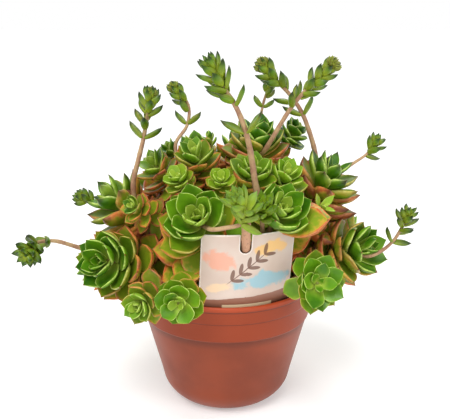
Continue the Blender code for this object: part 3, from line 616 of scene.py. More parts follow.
def clearShape(owner, shape, trees, placed, pressed=0):
    # The first bend and length that cross no other piece, for a leaf that the solids don't carry. A leaf that
    # finds none is left out, or presses into the leaves of a few other rosettes where they stand close.
    best, fewest = None, pressed + 1
    for bend, part in bends:
        tried = cutTo(shape, bend, part)
        tree, centre = coarseTree(tried)
        reach = tried[3]
        crossed = [name for name, t, c, r in trees + placed
                   if name != owner and (c - centre).length < reach + r and tree.overlap(t)]
        soft = all(name.startswith("head") for name in crossed) and part >= clump["pressedLeast"]
        if len(crossed) < fewest and (soft or not crossed):
            best, fewest = (tried, tree, centre, reach), len(crossed)
        if not crossed:
            break
    if best is None:
        return None
    placed.append((owner, *best[1:]))
    return best[0]


def soilPoint(turn, reach):
    # A stem's foot at the bottom of its hole
    return direction(turn, 0) * reach * mm + Vector((0, 0, (clump["soilEdge"] - clump["holeDepth"]) * mm))


def planHead(row):
    name, style, place, facing, size, leaves, leafy = row
    turn, height, reach = place
    heart = clump["middle"] + direction(turn, height) * reach * mm
    axis = direction(*facing)
    inner, outer = clump["stemSeats"]
    level = math.cos(math.radians(height)) ** clump["seatPower"]
    foot = soilPoint(*seatTurns.get(name, (turn, inner + outer * level)))
    rise = clump["stemRise"] * mm
    back = heart - axis * min(rise, clump["stemBack"] * (heart - foot).length)
    points = bezier(foot, foot + Vector((0, 0, rise)), back, heart, clump["stemSteps"])
    points.insert(1, foot + Vector((0, 0, clump["stemOut"] * mm)))
    radius = next(radius for least, radius in clump["stemRadii"] if size >= least) * mm
    look = {"stretch": clump["youngStretch"], **styles[style], **headLooks.get(name, {})}
    return {"style": style, "size": size * mm, "leaves": leaves, "leafy": leafy * mm,
            "axis": axis, "points": points, "radii": (radius, radius * clump["stemTaper"]), "look": look}


def headEntries(plan, rng, extraRng):
    # Every leaf by its rank on the spiral: even ranks are in the solids, odd and negative ones only here.
    # Its age runs from the heart to the oldest leaf of the solids, and beyond.
    look = plan["look"]
    start = rng.uniform(0, 360)
    young, youngCurl = clump["youngest"], clump["youngCurl"]
    step = (1 - young) / (plan["leaves"] - 1) / 2
    ranks = list(range(0, 2 * plan["leaves"] - 1, 2))
    extras = [rank for rank in range(1, 2 * plan["leaves"] - 2, 2)
              if young + step * rank > clump["denseFrom"] and plan["style"] not in sparseStyles]
    extras += list(range(-1, -1 - look["hearts"], -1))
    extras += [ranks[-1] + i for i in range(1, look["old"] + 1)]
    entries = []
    for rank in ranks + extras:
        source = rng if rank in ranks else extraRng
        age = young + step * rank if rank >= 0 else young * (1 + rank / (look["hearts"] + 1))
        grown = min(1.0, age / clump["grownAge"]) ** clump["youngPower"]
        grown = clump["youngSize"] + (1 - clump["youngSize"]) * grown
        grown *= min(1.0, clump["heartSize"] + (1 - clump["heartSize"]) * age / young)
        outgrown = 1 + (look["outgrown"] - 1) * max(0.0, 2 * age - 1)
        jitter = source.uniform(1 - clump["lengthJitter"], 1 + clump["lengthJitter"])
        length = plan["size"] * grown * jitter * outgrown
        angle = look["first"] + (look["last"] - look["first"]) * age ** clump["anglePower"]
        angle += source.uniform(-clump["angleJitter"], clump["angleJitter"])
        turn = start + rank * clump["leafTurn"] + source.uniform(-clump["leafJitter"], clump["leafJitter"])
        width = length * look["share"]
        entries.append({"inSolid": rank in ranks, "age": age, "turn": turn, "length": length, "width": width,
                        "depth": clump["firstDepth"] * mm + plan["leafy"] * age ** clump["depthPower"],
                        "thick": max(width * look["thick"], clump["thinnest"] * mm), "angle": angle,
                        "curl": look["curl"] * (youngCurl + (1 - youngCurl) * age)})
    for turn, depth, length, angle in look.get("loose", ()):
        width = length * mm * look["share"]
        entries.append({"inSolid": False, "age": 1.0, "turn": turn, "length": length * mm, "width": width,
                        "depth": depth * mm, "thick": width * look["thick"], "angle": angle,
                        "curl": look["curl"], "shade": clump["looseShade"], "warm": clump["looseWarm"]})
    return entries


def planStalk(row, heads):
    name, parent, down, route, radii = row[:5]
    points = [Vector(p) * mm for p in route]
    if parent is None:
        points = smoothRoute(points)
        points[0] = Vector((points[1].x, points[1].y, soilPoint(0, 0).z))
    else:
        # The solid's foot is a square cap, whose four corners lie nearest to the stem that bears it
        join = np.array(placeOn(heads[parent]["points"], down * mm)[0])
        corners = nodePoints(name)
        near = corners[np.argsort(np.linalg.norm(corners - join, axis=1))[:24]]
        cap = np.unique(np.round(near, 7), axis=0)
        cap = cap[np.argsort(np.linalg.norm(cap - join, axis=1))[:4]]
        points = smoothRoute([Vector(cap.mean(axis=0))] + points)
    return {"points": points, "radii": (radii[0] * mm, radii[1] * mm)}


def stalkEntries(row, points, rng, extraRng):
    # The same for a stalk: a spiral down from its tip, and opposite pairs further down
    size, count, leafy, pairs = row[5] * mm, row[6], row[7] * mm, row[8]
    start = rng.uniform(0, 360)
    ranks = list(range(0, 2 * count - 1, 2))
    last = 2 * count if row[0] in stalks["crowded"] else stalks["tipShare"] * count
    extras = [rank for rank in range(-stalks["early"], 2 * count - 2)
              if rank < 0 or (rank % 2 and rank < last)]
    firstAngle, moreAngle, openBy = stalks["angles"]
    firstDepth, depthPower = stalks["depth"]
    firstSize, moreSize = stalks["grown"]
    entries = []
    for rank in ranks + extras:
        source = rng if rank in ranks else extraRng
        k = rank / 2
        age = max(0.0, k / (count - 1))
        grown = size * min(1.0, firstSize + moreSize * k)
        angle = firstAngle + moreAngle * max(0.0, min(1.0, k / openBy))
        angle += source.uniform(-stalks["angleJitter"], stalks["angleJitter"])
        entries.append({"inSolid": rank in ranks, "age": age, "turn": start + rank * clump["leafTurn"],
                        "length": grown, "width": grown * stalks["width"], "angle": angle,
                        "depth": firstDepth * mm + leafy * age ** depthPower, "slim": stalks["slim"],
                        **stalks["leaf"]})
    for distance in pairs:
        level, up = sideVectors(placeOn(points, distance * mm)[1])
        turn = math.degrees(math.atan2(up.x, level.x))
        turn += rng.uniform(-stalks["pairJitter"], stalks["pairJitter"])
        for side in (0, 180):
            entries.append({"inSolid": True, "age": 1.0, "turn": turn + side, "depth": distance * mm,
                            "length": size * stalks["pairLength"], "width": size * stalks["width"],
                            **stalks["pair"]})
    return entries


def entryShape(points, entry, axis=None):
    place, heading = placeOn(points, entry["depth"])
    if axis:
        heading = heading.lerp(axis, clump["facingShare"]).normalized()
    return (place, heading, outwardFrom(heading, entry["turn"]), entry["length"], entry["width"],
            entry["thick"], entry["angle"], entry["curl"], entry["length"] < clump["plainBelow"] * mm)


# Leaf surface: sections along a curled midrib, and points round each section
blade = {
    "sections": 15,
    "around": 14,
    "crowding": 1.25,  # sections stand closer towards the tip by this power
    "closed": 0.965,  # share of the length where the blade ends and its short spear goes on
    "spearReach": 0.07,  # share over which the spear runs out, and the power of that
    "spearPower": 0.8,
    "footThick": 0.55,  # thickness at the foot, which is full at half the length
    "thinFrom": 0.55,  # share of the length from which it thins out, and the power of that
    "thinPower": 2.6,
    "tipThick": 0.10,  # thickness that is left until this share before the tip
    "marginPower": 0.85,  # section: under 1 fills its margins and its keel out
    "keelPower": 0.8,
    "crown": 0.16,  # bulge of the upper face, in thicknesses
    "waves": (9.0, 6.3, 1.3),  # of the margins: radians over the length, by the leaf's seed, by the side
    "tipLift": 0.03,
}
leafForms = {
    "rosette": {"foot": 0.46, "peak": 0.61, "point": 2.1, "full": 1.0, "spear": 0.07},
    "spoon": {"foot": 0.34, "peak": 0.68, "point": 2.4, "full": 1.04, "spear": 0.05},
    "long": {"foot": 0.56, "peak": 0.60, "point": 2.0, "full": 1.0, "spear": 0.07},
    "sprig": {"foot": 0.52, "peak": 0.50, "point": 1.5, "full": 1.04, "spear": 0.06},
    "stalk": {"foot": 0.60, "peak": 0.48, "point": 1.7, "full": 1.02, "spear": 0.08},
    "bud": {"foot": 0.50, "peak": 0.50, "point": 2.0, "full": 1.0, "spear": 0.02},
}
leafDraws = {  # what each leaf's own values lie between, drawn in this order
    "flush": (0.45, 1.15), "pale": (-0.12, 0.12), "hollow": (0.8, 1.15), "tone": (-0.3, 0.3),
    "dark": (0.6, 1.0), "wave": (0.015, 0.065), "sway": (-0.035, 0.035),
}
# A look's values where its rosette or stalk names none, then an entry's: the warm colour starts at the age
# greenTo, and a leaf is painted as if it were at least of the age ageFrom
plainLook = {"stretch": 0.0, "plump": 1.0, "spread": 0.0, "wide": 1.0, "tone": 0.5, "bloom": 0.0, "dark": 0.0,
             "ageFrom": 0.0, "greenTo": 0.36}
plainEntry = {"warm": 1.0, "shade": 0.0, "slim": 1.0}
budForm = {"ahead": 1.0, "width": 2.3, "thick": 2.0, "first": 4, "spread": 78, "curl": -4,
           "sizes": (0.88, 1.1), "age": 0.3, "look": {"flush": 0.0, "pale": 0.5, "hollow": 0.02}}


def leafSurfaces(leaves):
    # The midrib leaves the stem at an angle and turns back evenly, so it is an arc: its place at s is the
    # integral of (cos, sin) of angle - curl * s. The half-width swells from the foot to a peak as a quarter
    # sine, then closes as 1 - t ^ point, with a short spear beyond. A section is a channel above, the
    # square of the offset times the hollow, and a keel below, with rounded margins.
    def column(key):
        return np.array([leaf[key] for leaf in leaves], float)

    form, count = blade, len(leaves)
    rows, around = form["sections"] - 2, form["around"]
    s = (1 - (1 - np.linspace(0, 1, form["sections"])) ** form["crowding"])[None, :]
    angle, curl = np.radians(column("angle"))[:, None], np.radians(column("curl"))[:, None]
    curl = np.where(np.abs(curl) < 1e-3, 1e-3, curl)
    length, width, thick = (column(key)[:, None] for key in ("length", "width", "thick"))
    foot, peak, point, full, spear = (column(key)[:, None] for key in leafForms["rosette"])
    theta = angle - curl * s
    forward = (np.sin(angle) - np.sin(theta)) / curl * length
    outward = (np.cos(theta) - np.cos(angle)) / curl * length
    rising = foot + (1 - foot) * np.sin(np.pi / 2 * np.minimum(1, s / peak))
    closing = 1 - np.clip((s - peak) / (form["closed"] - peak), 0, 1) ** point
    half = 0.5 * full * width * np.where(s < peak, rising, closing)
    runOut = np.clip((1 - s) / form["spearReach"], 0, 1) ** form["spearPower"]
    half = np.maximum(half, spear * width * runOut)
    swelling = form["footThick"] + (1 - form["footThick"]) * np.sin(np.pi / 2 * np.minimum(1, s / 0.5))
    thinning = 1 - np.clip((s - form["thinFrom"]) / (1 - form["thinFrom"]), 0, 1) ** form["thinPower"]
    ending = np.clip((1 - s) / form["tipThick"], 0, 1)
    body = thick * np.maximum(swelling * thinning, form["tipThick"] * ending)

    # Sections, as offsets from the midrib across the blade and up from its face
    phi = np.linspace(0, 2 * np.pi, around, endpoint=False)
    cosine, sine = np.cos(phi), np.sin(phi)
    offset = np.sign(cosine) * np.abs(cosine) ** form["marginPower"]
    hollow, wave, sway, seed = (column(key)[:, None, None] for key in ("hollow", "wave", "sway", "seed"))
    along, half, tall = s[:, :, None], half[:, :, None], length[:, :, None]
    below = np.where(sine < 0, -np.abs(sine) ** form["keelPower"], form["crown"] * sine)
    byLength, bySeed, bySide = form["waves"]
    ripple = wave * np.sin(byLength * along + seed * bySeed + np.sign(cosine) * bySide)
    lift = (hollow + ripple) * half * offset ** 2 + body[:, :, None] * below
    lift = lift + form["tipLift"] * tall * along ** 4
    x = half * offset + sway * tall * along ** 2

    # The same in space: a ring to each section but the first and the last, which are points
    root, heading, outwardAxis = (column(key) for key in ("root", "heading", "outwardAxis"))
    across = np.cross(outwardAxis, heading)
    across /= np.linalg.norm(across, axis=1)[:, None]
    rib = root[:, None] + forward[:, :, None] * heading[:, None] + outward[:, :, None] * outwardAxis[:, None]
    face = heading[:, None] * np.sin(theta)[:, :, None] - outwardAxis[:, None] * np.cos(theta)[:, :, None]
    points = rib[:, :, None] + across[:, None, None] * x[..., None] + face[:, :, None] * lift[..., None]
    ends = [rib[:, :1], points[:, -1:].mean(axis=2)]
    flat = np.concatenate([points[:, 1:-1].reshape(count, -1, 3)] + ends, axis=1)
    each = rows * around + 2
    place = np.zeros((count, each, 3))
    rings = place[:, :-2].reshape(count, rows, around, 3)
    rings[..., 0] = along[:, 1:-1]
    rings[..., 1] = np.abs(offset)
    rings[..., 2] = sine
    place[:, :-2] = rings.reshape(count, -1, 3)
    place[:, -1, 0] = 1.0
    kind, tone = [np.repeat(np.stack([column(key) for key in keys], axis=-1), each, axis=0)
                  for keys in (("age", "flush", "pale"), ("tone", "bloom", "dark"))]
    quads, triangles = closedFaces(rows, around, True)
    shift = (np.arange(count) * each)[:, None, None]
    quads, triangles = (quads + shift).reshape(-1, 4), (triangles + shift).reshape(-1, 3)
    return flat.reshape(-1, 3), quads, triangles, place.reshape(-1, 3), kind, tone


def tubeSurface(route, radii, style, seed, pale=0.0):
    # A round tube along a smooth route: rings square to it, the radius easing from foot to tip, swelling a
    # little at each knot where a leaf has stood
    sides, perSpan, swelling, spacing = bark[style]
    centres = np.array([tuple(p) for p in catmullRom(route, perSpan)])
    tangents = np.gradient(centres, axis=0)
    tangents /= np.linalg.norm(tangents, axis=1)[:, None]
    side = np.cross(tangents, bark["across"])
    side /= np.linalg.norm(side, axis=1)[:, None]
    up = np.cross(side, tangents)
    distance = np.concatenate([[0], np.cumsum(np.linalg.norm(np.diff(centres, axis=0), axis=1))])
    share = distance / distance[-1]
    radius = radii[0] + (radii[1] - radii[0]) * share ** bark["taper"]
    turn = np.linspace(0, 2 * np.pi, sides, endpoint=False)
    knots = np.sin(distance[:, None] / spacing * 2 * np.pi + turn * 2 + seed)
    reach = radius[:, None] * (1 + swelling * np.maximum(0, knots) ** 3)
    rings = centres[:, None] + reach[..., None] * (side[:, None] * np.cos(turn)[:, None]
                                                   + up[:, None] * np.sin(turn)[:, None])
    rows = len(centres)
    ends = [centres[:1], centres[-1:] + tangents[-1:] * radii[1] * bark["blunt"]]
    points = np.concatenate([rings.reshape(-1, 3)] + ends)
    place = np.zeros((len(points), 3))
    place[:rows * sides, 0] = np.repeat(share, sides)
    place[-1, 0] = 1.0
    kind = np.tile([0.0, 0.0, pale], (len(points), 1))
    return points, *closedFaces(rows, sides, False), place, kind, np.zeros((len(points), 3))


def plantPiece(name, node, stems, leaves, buds, materials):
    # One rosette or stalk: its stems, leaves and buds in one mesh, by materials 1, 0 and 2
    parts = [(stem, 1) for stem in stems]
    parts += [(leafSurfaces(group), index) for group, index in ((leaves, 0), (buds, 2)) if group]
    shifts = np.cumsum([0] + [len(part[0]) for part, index in parts])
    points, *painted = [np.concatenate([part[k] for part, index in parts]) for k in (0, 3, 4, 5)]
    quads, triangles = [np.concatenate([part[k] + shift for (part, index), shift in zip(parts, shifts)])
                        for k in (1, 2)]
    chosen = np.concatenate([np.full(len(part[k]), index) for k in (1, 2) for part, index in parts])
    piece = meshPiece(name, points, quads, triangles, materials, chosen,
                      dict(zip(("leafPlace", "leafKind", "leafTone"), painted)))
    standFor(piece, node)


def leafRow(shape, entry, look, form, rng):
    # A leaf's shape and its own paint
    look, entry = {**plainLook, **look}, {**plainEntry, **entry}
    root, heading, outward, length, width, thick, angle, curl, _ = shape
    draw = {key: rng.uniform(*between) for key, between in leafDraws.items()}
    old = min(1.0, max(0.0, (entry["age"] - look["greenTo"]) / clump["turning"]))
    young = max(0.0, 1 - entry["age"] / clump["grownAge"])
    row = {"root": root, "heading": heading, "outwardAxis": outward, "width": width, "curl": curl,
           "length": length * (1 + look["stretch"] * young), "thick": thick * look["plump"],
           "angle": angle + look["spread"], "age": max(entry["age"], look["ageFrom"]),
           "flush": old * look["flush"] * draw["flush"] * entry["warm"], "pale": look["pale"] + draw["pale"],
           "hollow": look["hollow"] * draw["hollow"], "tone": look["tone"] + draw["tone"] + entry["shade"],
           "bloom": look["bloom"], "dark": look["dark"] * draw["dark"], "wave": draw["wave"],
           "sway": draw["sway"], "seed": rng.random()}
    row.update(form, full=form["full"] * entry["slim"] * look["wide"])
    return row


def budCluster(points, size, rng):
    # Plump buds on a dome about the stalk's tip, turned on by the golden angle from one to the next
    count, length = size
    heading = (points[-1] - points[-2]).normalized()
    root = points[-1] + heading * budForm["ahead"] * mm
    rows = []
    for i in range(count):
        outward = outwardFrom(heading, i * clump["leafTurn"])
        angle = budForm["first"] + budForm["spread"] * math.sqrt(i / count)
        shape = (root, heading, outward, length * mm * rng.uniform(*budForm["sizes"]), budForm["width"] * mm,
                 budForm["thick"] * mm, angle, budForm["curl"], True)
        rows.append(leafRow(shape, {"age": budForm["age"]}, budForm["look"], leafForms["bud"], rng))
    return rows


# Plant materials: a colour alone, or with the span of the value that brings it in

leafLook = {
    "deep": "295a06",
    "fresh": ("5a8c0e", 0.1, 0.9),  # by the leaf's own tone and a slow drift
    "ownTone": 0.7, "drifting": (1.2, -0.45),
    "pale": ("86a824", 0.0, 1.0),
    "side": ("8bb024", 0.45, 0.95, 0.0, 0.28),  # from the midrib to the margin
    "heart": "b0c34a",
    "foot": (0.05, 0.62, 0.9, 0.0),  # how the lime foot fades out along the blade, and with age
    "footAge": (0.9, 0.2, 0.45, 1.0),
    "heartAge": (0.26, 0.02, 0.0, 0.75),  # how pale the youngest leaves are
    "olive": ("8f9e22", 0.03, 0.4, 0.0, 0.65),  # by the flush
    "bronze": "d0a03e",
    "orange": ("c0582a", 0.58, 1.0),
    "rose": ("a8683a", 0.0, -0.6, 0.0, 0.4),  # on the underside
    "russet": ("7c3e28", 0.45, 0.15, 0.0, 0.8),  # on dark leaves
    "warmOn": (0.03, 0.4),
    "warmEdge": (0.32, 0.80),
    "warmSide": 0.62, "warmTip": 0.47, "warmFlush": 0.36, "warmPatch": 0.9, "warmUnder": 0.1,
    "bloom": ("b4c79a", 0.35, 0.7, 0.15, 0.6),
    # The bright margin is partly the skin's own pale edge and partly painted highlight where the edge catches
    # light
    "rim": "c8dc74", "warmRimAndHighlight": "d89a58",
    "rimEdge": (0.90, 0.99),
    "rimBreaks": (0.35, 0.6),  # of the skin's unevenness, where the bright rim is broken
    "rimStrength": 0.85, "rimWeakest": 0.45, "warmRimShare": 0.5,
    "tip": ("7c3a24", 0.955, 0.975, 0.0, 0.85),
    "darkTip": ("2b1d10", 0.84, 1.04),
    "ragged": 0.15,
    "gloss": (0.3, 0.7, 0.28, 0.46),  # roughness by the blotches
    "patch": 260.0,  # blotches of about 4 mm
    "drift": 78.0,  # slow changes over about 13 mm
    "grain": 2600.0,  # skin grain of 0.4 mm
    "dimple": 420.0,  # slow unevenness of 2 to 3 mm that breaks up the gloss
    "relief": 0.13 * mm,
}
stalkLook = {"deep": "2c5408", "fresh": ("4a7a12", 0.1, 0.9), "heart": "b2be3a", "rim": "6f8c30",
             "tip": ("20260a", 0.955, 0.975, 0.0, 0.85), "darkTip": ("121a03", 0.78, 0.98),
             "side": ("2c4a08", 0.45, 0.95, 0.0, 0.5), "foot": (0.05, 0.95, 0.9, 0.0),
             "heartAge": (0.26, 0.02, 0.0, 0.0), "rimStrength": 0.3}
budLook = {"deep": "525818", "fresh": ("6c6c28", 0.1, 0.9), "pale": ("868038", 0.0, 1.0), "heart": "6c7228",
           "tip": ("966048", 0.955, 0.975, 0.0, 0.85), "rimStrength": 0.0}
stemLook = {
    "tan": "b3946c",
    "pink": ("9c735a", 0.35, 0.65),
    "green": "7c8238",
    "young": ("cc9a7c", 0.0, 1.0, 0.0, 0.8),
    "scar": ("5c4230", 0.55, 0.75, 0.0, 0.5),
    "drift": 120.0,  # patches of about 8 mm
    "grain": 900.0,  # fissures of about 1 mm, drawn out lengthwise
    "drawn": (1.0, 1.0, 0.3),
    "relief": 0.3 * mm,
}


def leafMaterial(name, look):
    # Waxed succulent skin: green flesh, lime at its foot and in the heart, with a thin bright margin that is
    # partly pale skin and partly painted highlight. An old leaf turns olive in the middle, then bronze and
    # orange from its margins and tip inwards.
    made, add, shader = newMaterial(name)
    place, kind, own = (add("Attribute", out="Vector", attribute_name=key)
                        for key in ("leafPlace", "leafKind", "leafTone"))
    along, margin, upper = add("SeparateXYZ", [place], None)
    age, flush, pale = add("SeparateXYZ", [kind], None)
    tone, bloom, dark = add("SeparateXYZ", [own], None)
    where = add("TexCoord", out="Object")
    blotch = add("TexNoise", {"Vector": where, "Scale": look["patch"], "Detail": 3.0})
    drift, dimple, grain = (add("TexNoise", {"Vector": where, "Scale": look[key]})
                            for key in ("drift", "dimple", "grain"))

    # Green flesh, by the leaf's own tone and a slow drift, then paleness, lighter sides and the lime foot
    drifted = add("Math", [drift, *look["drifting"]], operation="MULTIPLY_ADD")
    shade = add("Math", [tone, look["ownTone"], drifted], operation="MULTIPLY_ADD")
    green = linear(look["deep"])
    for key, value in (("fresh", shade), ("pale", pale), ("side", margin)):
        green = coat(add, green, look[key], value)
    foot, footAge, heartAge = (add("MapRange", [value, *look[key]], **smoothStep)
                               for key, value in (("foot", along), ("footAge", age), ("heartAge", age)))
    foot = add("Math", [foot, footAge], operation="MULTIPLY")
    share = add("Math", [foot, heartAge], operation="MAXIMUM")
    green = add("Mix", {0: share, 6: green, 7: linear(look["heart"])}, 2, **colorMix)

    # How far the warm colour has come in: from the margins, the tip, the keel and in blotches
    cubed = add("Math", [margin, 3.0], operation="POWER")
    tipward = add("Math", [along, 4.0], operation="POWER")
    patchy = add("Math", [blotch, 0.5], operation="SUBTRACT")
    under = add("MapRange", [upper, 0.0, -0.6], **smoothStep)
    edge = 0.0
    for value, key in ((cubed, "warmSide"), (tipward, "warmTip"), (patchy, "warmPatch"), (flush, "warmFlush"),
                       (under, "warmUnder")):
        edge = add("Math", [value, look[key], edge], operation="MULTIPLY_ADD")
    warm = linear(look["bronze"])
    for key, value in (("orange", edge), ("rose", upper), ("russet", shade)):
        warm = coat(add, warm, look[key], value)
    warmOn = add("MapRange", [flush, *look["warmOn"]], **smoothStep)
    share = add("MapRange", [edge, *look["warmEdge"]], **smoothStep)
    share = add("Math", [share, warmOn], operation="MULTIPLY")
    skin = coat(add, green, look["olive"], flush)
    skin = add("Mix", {0: share, 6: skin, 7: warm}, 2, **colorMix)

    # Chalky bloom in patches, the bright margin (pale skin with painted highlight), the brown point, and the
    # dark tip of some leaves
    skin = coat(add, skin, look["bloom"], blotch, bloom)
    least, most = look["rimWeakest"] * look["rimStrength"], look["rimStrength"]
    rim = add("MapRange", [margin, *look["rimEdge"]], **smoothStep)
    broken = add("MapRange", [dimple, *look["rimBreaks"], least, most], **smoothStep)
    weaker = add("MapRange", [warmOn, 0.0, 1.0, 1.0, look["warmRimShare"]], **smoothStep)
    for value in (broken, weaker):
        rim = add("Math", [rim, value], operation="MULTIPLY")
    hue = add("Mix", {0: warmOn, 6: linear(look["rim"]), 7: linear(look["warmRimAndHighlight"])}, 2, **colorMix)
    skin = add("Mix", {0: rim, 6: skin, 7: hue}, 2, **colorMix)
    skin = coat(add, skin, look["tip"], along)
    ragged = add("Math", [blotch, look["ragged"], along], operation="MULTIPLY_ADD")
    skin = coat(add, skin, look["darkTip"], ragged, dark)

    relief = add("Math", [dimple, 3.0, grain], operation="MULTIPLY_ADD")
    feed(shader, {"Base Color": skin, "Roughness": add("MapRange", [blotch, *look["gloss"]], **smoothStep),
                  "Normal": add("Bump", {"Height": relief, "Strength": 0.3, "Distance": look["relief"]}),
                  "IOR": 1.42, "Specular IOR Level": 0.34, "Subsurface Weight": 0.1,
                  "Subsurface Radius": (0.7, 1.0, 0.15), "Subsurface Scale": 1.5 * mm,
                  "Coat Weight": 0.06, "Coat Roughness": 0.2})
    return made


def stemMaterial(name, look, green):
    # Young succulent stem: smooth tan-pink bark over green, with fine lengthwise fissures. The last share
    # of it that is given is green.
    made, add, shader = newMaterial(name)
    place, kind = (add("Attribute", out="Vector", attribute_name=key) for key in ("leafPlace", "leafKind"))
    along = add("SeparateXYZ", [place])
    pale = add("SeparateXYZ", [kind], "Z")
    where = add("TexCoord", out="Object")
    drift = add("TexNoise", {"Vector": where, "Scale": look["drift"], "Detail": 3.0})
    drawn = add("Mapping", {"Vector": where, "Scale": look["drawn"]})
    grain = add("TexNoise", {"Vector": drawn, "Scale": look["grain"], "Detail": 3.0})
    skin = linear(look["tan"])
    for layer, value in ((look["pink"], drift), ((look["green"], 1.0 - green, 1.0), along),
                         (look["young"], pale), (look["scar"], grain)):
        skin = coat(add, skin, layer, value)
    feed(shader, {"Base Color": skin, "Roughness": 0.5, "IOR": 1.45, "Specular IOR Level": 0.35,
                  "Normal": add("Bump", {"Height": grain, "Strength": 0.4, "Distance": look["relief"]})})
    return made


def keptLeaves(heads, trees, placed):
    # Leaves of every rosette by name: first those that its solid carries, then the added ones that find
    # room, the nearest to their hearts first
    kept, queue = {}, []
    for number, (name, plan) in enumerate(heads.items()):
        corners = nodePoints(name)
        kept[name] = []
        draws = [random.Random(seeds[key] + number) for key in ("headLeaves", "headExtras")]
        for entry in headEntries(plan, *draws):
            shape = entryShape(plan["points"], entry, plan["axis"])
            solid = solidShape(shape, corners) if entry["inSolid"] else None
            if solid:
                kept[name].append((solid, entry))
            else:
                queue.append((entry["depth"], number, name, shape, entry))
    for _, _, name, shape, entry in sorted(queue, key=lambda item: item[:2]):
        clear = clearShape(name, shape, trees, placed, heads[name]["look"].get("pressed", clump["pressed"]))
        if clear:
            kept[name].append((clear, entry))
    return kept


def growHeads(heads, trees, placed):
    materials = [leafMaterial("waxedLeafSkin", leafLook), stemMaterial("rosetteStemBark", stemLook, 0.15)]
    total = 0
    for number, (name, entries) in enumerate(keptLeaves(heads, trees, placed).items()):
        plan = heads[name]
        look = plan["look"]
        rng = random.Random(seeds["headLooks"] + number)
        leaves = [leafRow(shape, entry, look, leafForms[look["form"]], rng) for shape, entry in entries]
        stem = tubeSurface(plan["points"], plan["radii"], "head", number)
        plantPiece("rosette_" + name[-2:], name, [stem], leaves, [], materials)
        total += len(leaves)
    print("rosettes", len(heads), "leaves", total)


def growStalks(heads, trees, placed):
    materials = [leafMaterial("stalkLeafSkin", dict(leafLook, **stalkLook)),
                 stemMaterial("flowerStalkBark", stemLook, 0.25),
                 leafMaterial("flowerBudSkin", dict(leafLook, **budLook))]
    total = 0
    for number, row in enumerate(stalkRows):
        name = row[0]
        plan = planStalk(row, heads)
        corners = nodePoints(name)
        rng = random.Random(seeds["stalkLooks"] + number)
        draws = [random.Random(seeds[key] + number) for key in ("stalkLeaves", "stalkExtras")]
        look = {**stalks["look"], **stalkLooks.get(name, {})}
        leaves = []
        for entry in stalkEntries(row, plan["points"], *draws):
            shape = entryShape(plan["points"], entry)
            taken = solidShape(shape, corners) if entry["inSolid"] else None
            taken = taken or clearShape(name, shape, trees, placed)
            if taken:
                leaves.append(leafRow(taken, entry, look, leafForms["stalk"], rng))
        buds = budCluster(plan["points"], budded[name], rng) if name in budded else []
        stems = [tubeSurface(plan["points"], plan["radii"], "stalk", number)]
        if name == notchStem["stalk"]:
            route = [Vector(p) * mm for p in notchStem["route"]]
            stems.append(tubeSurface(route, [r * mm for r in notchStem["radii"]], "notch", number, 1.0))
        plantPiece("flower_" + name, name, stems, leaves, buds, materials)
        total += len(leaves)
    print("stalks", len(stalkRows), "leaves", total)


# Pot, in mm

potForm = {
    "steps": 144,
    "inner": [(0, 2.2), (36.5, 2.2), (46.6, 9.2), (51.6, 17.0), (52.9, 24.0), (66.2, 73.0), (67.5, 101.0)],
    "outer": [(68.3, 102.0), (69.8, 102.0), (70.6, 101.0), (70.6, 98.4), (69.9, 97.4), (69.7, 88.4),
              (69.1, 87.6), (69.0, 73.8), (67.7, 73.0), (54.6, 24.0), (52.8, 15.5),
              (48.2, 8.2), (41.6, 2.6), (34.0, 0.0), (0, 0)],
    "round": 0.8,
    "footRound": 4.5,  # below this height corners are rounded more
    "footBelow": 25.0,
    "longest": 4.0,
    "drainCount": 5,
    "drainRadius": 3.0,
    "drainCircle": 24.0,
    "drainSides": 24,
    "drainCut": 12.0,
}
potLook = {
    "clay": "8a3c20",
    "dark": ("7a351e", 0.35, 0.7),
    "collar": ("8e3614", 72.5, 73.1, 0.0, 0.75),  # by height: the collar above is a cleaner red
    # Painted highlight: the rolled lip is lighter towards its top, where the light falls on it
    "lipHighlight": ("a84220", 97.5, 100.5, 0.0, 0.85),
    "fleck": ("9e563c", 0.62, 0.8, 0.0, 0.15),
    # Painted shade: a darker clay laid just under each step, where the ledges' shadows fall
    "shade": "5f2a1a",
    "paintedStepShades": [(72.6, 8.0, 0.7), (87.7, 0.7, 0.6), (97.7, 1.0, 0.75)],  # top, depth, strength
    "paintedShadeTop": (0.6, 0.3),  # the shade starts between these heights over a groove's top
    "speckle": 1400.0,  # grain of 0.7 mm
    "cloud": 22.0,  # broad drifts of about 45 mm
    "lineStep": 0.9,  # from one turning line of the mould to the next
    "lineDepth": 0.15,
    "gloss": (0.3, 0.7, 0.38, 0.5),
    "relief": 0.1 * mm,
}


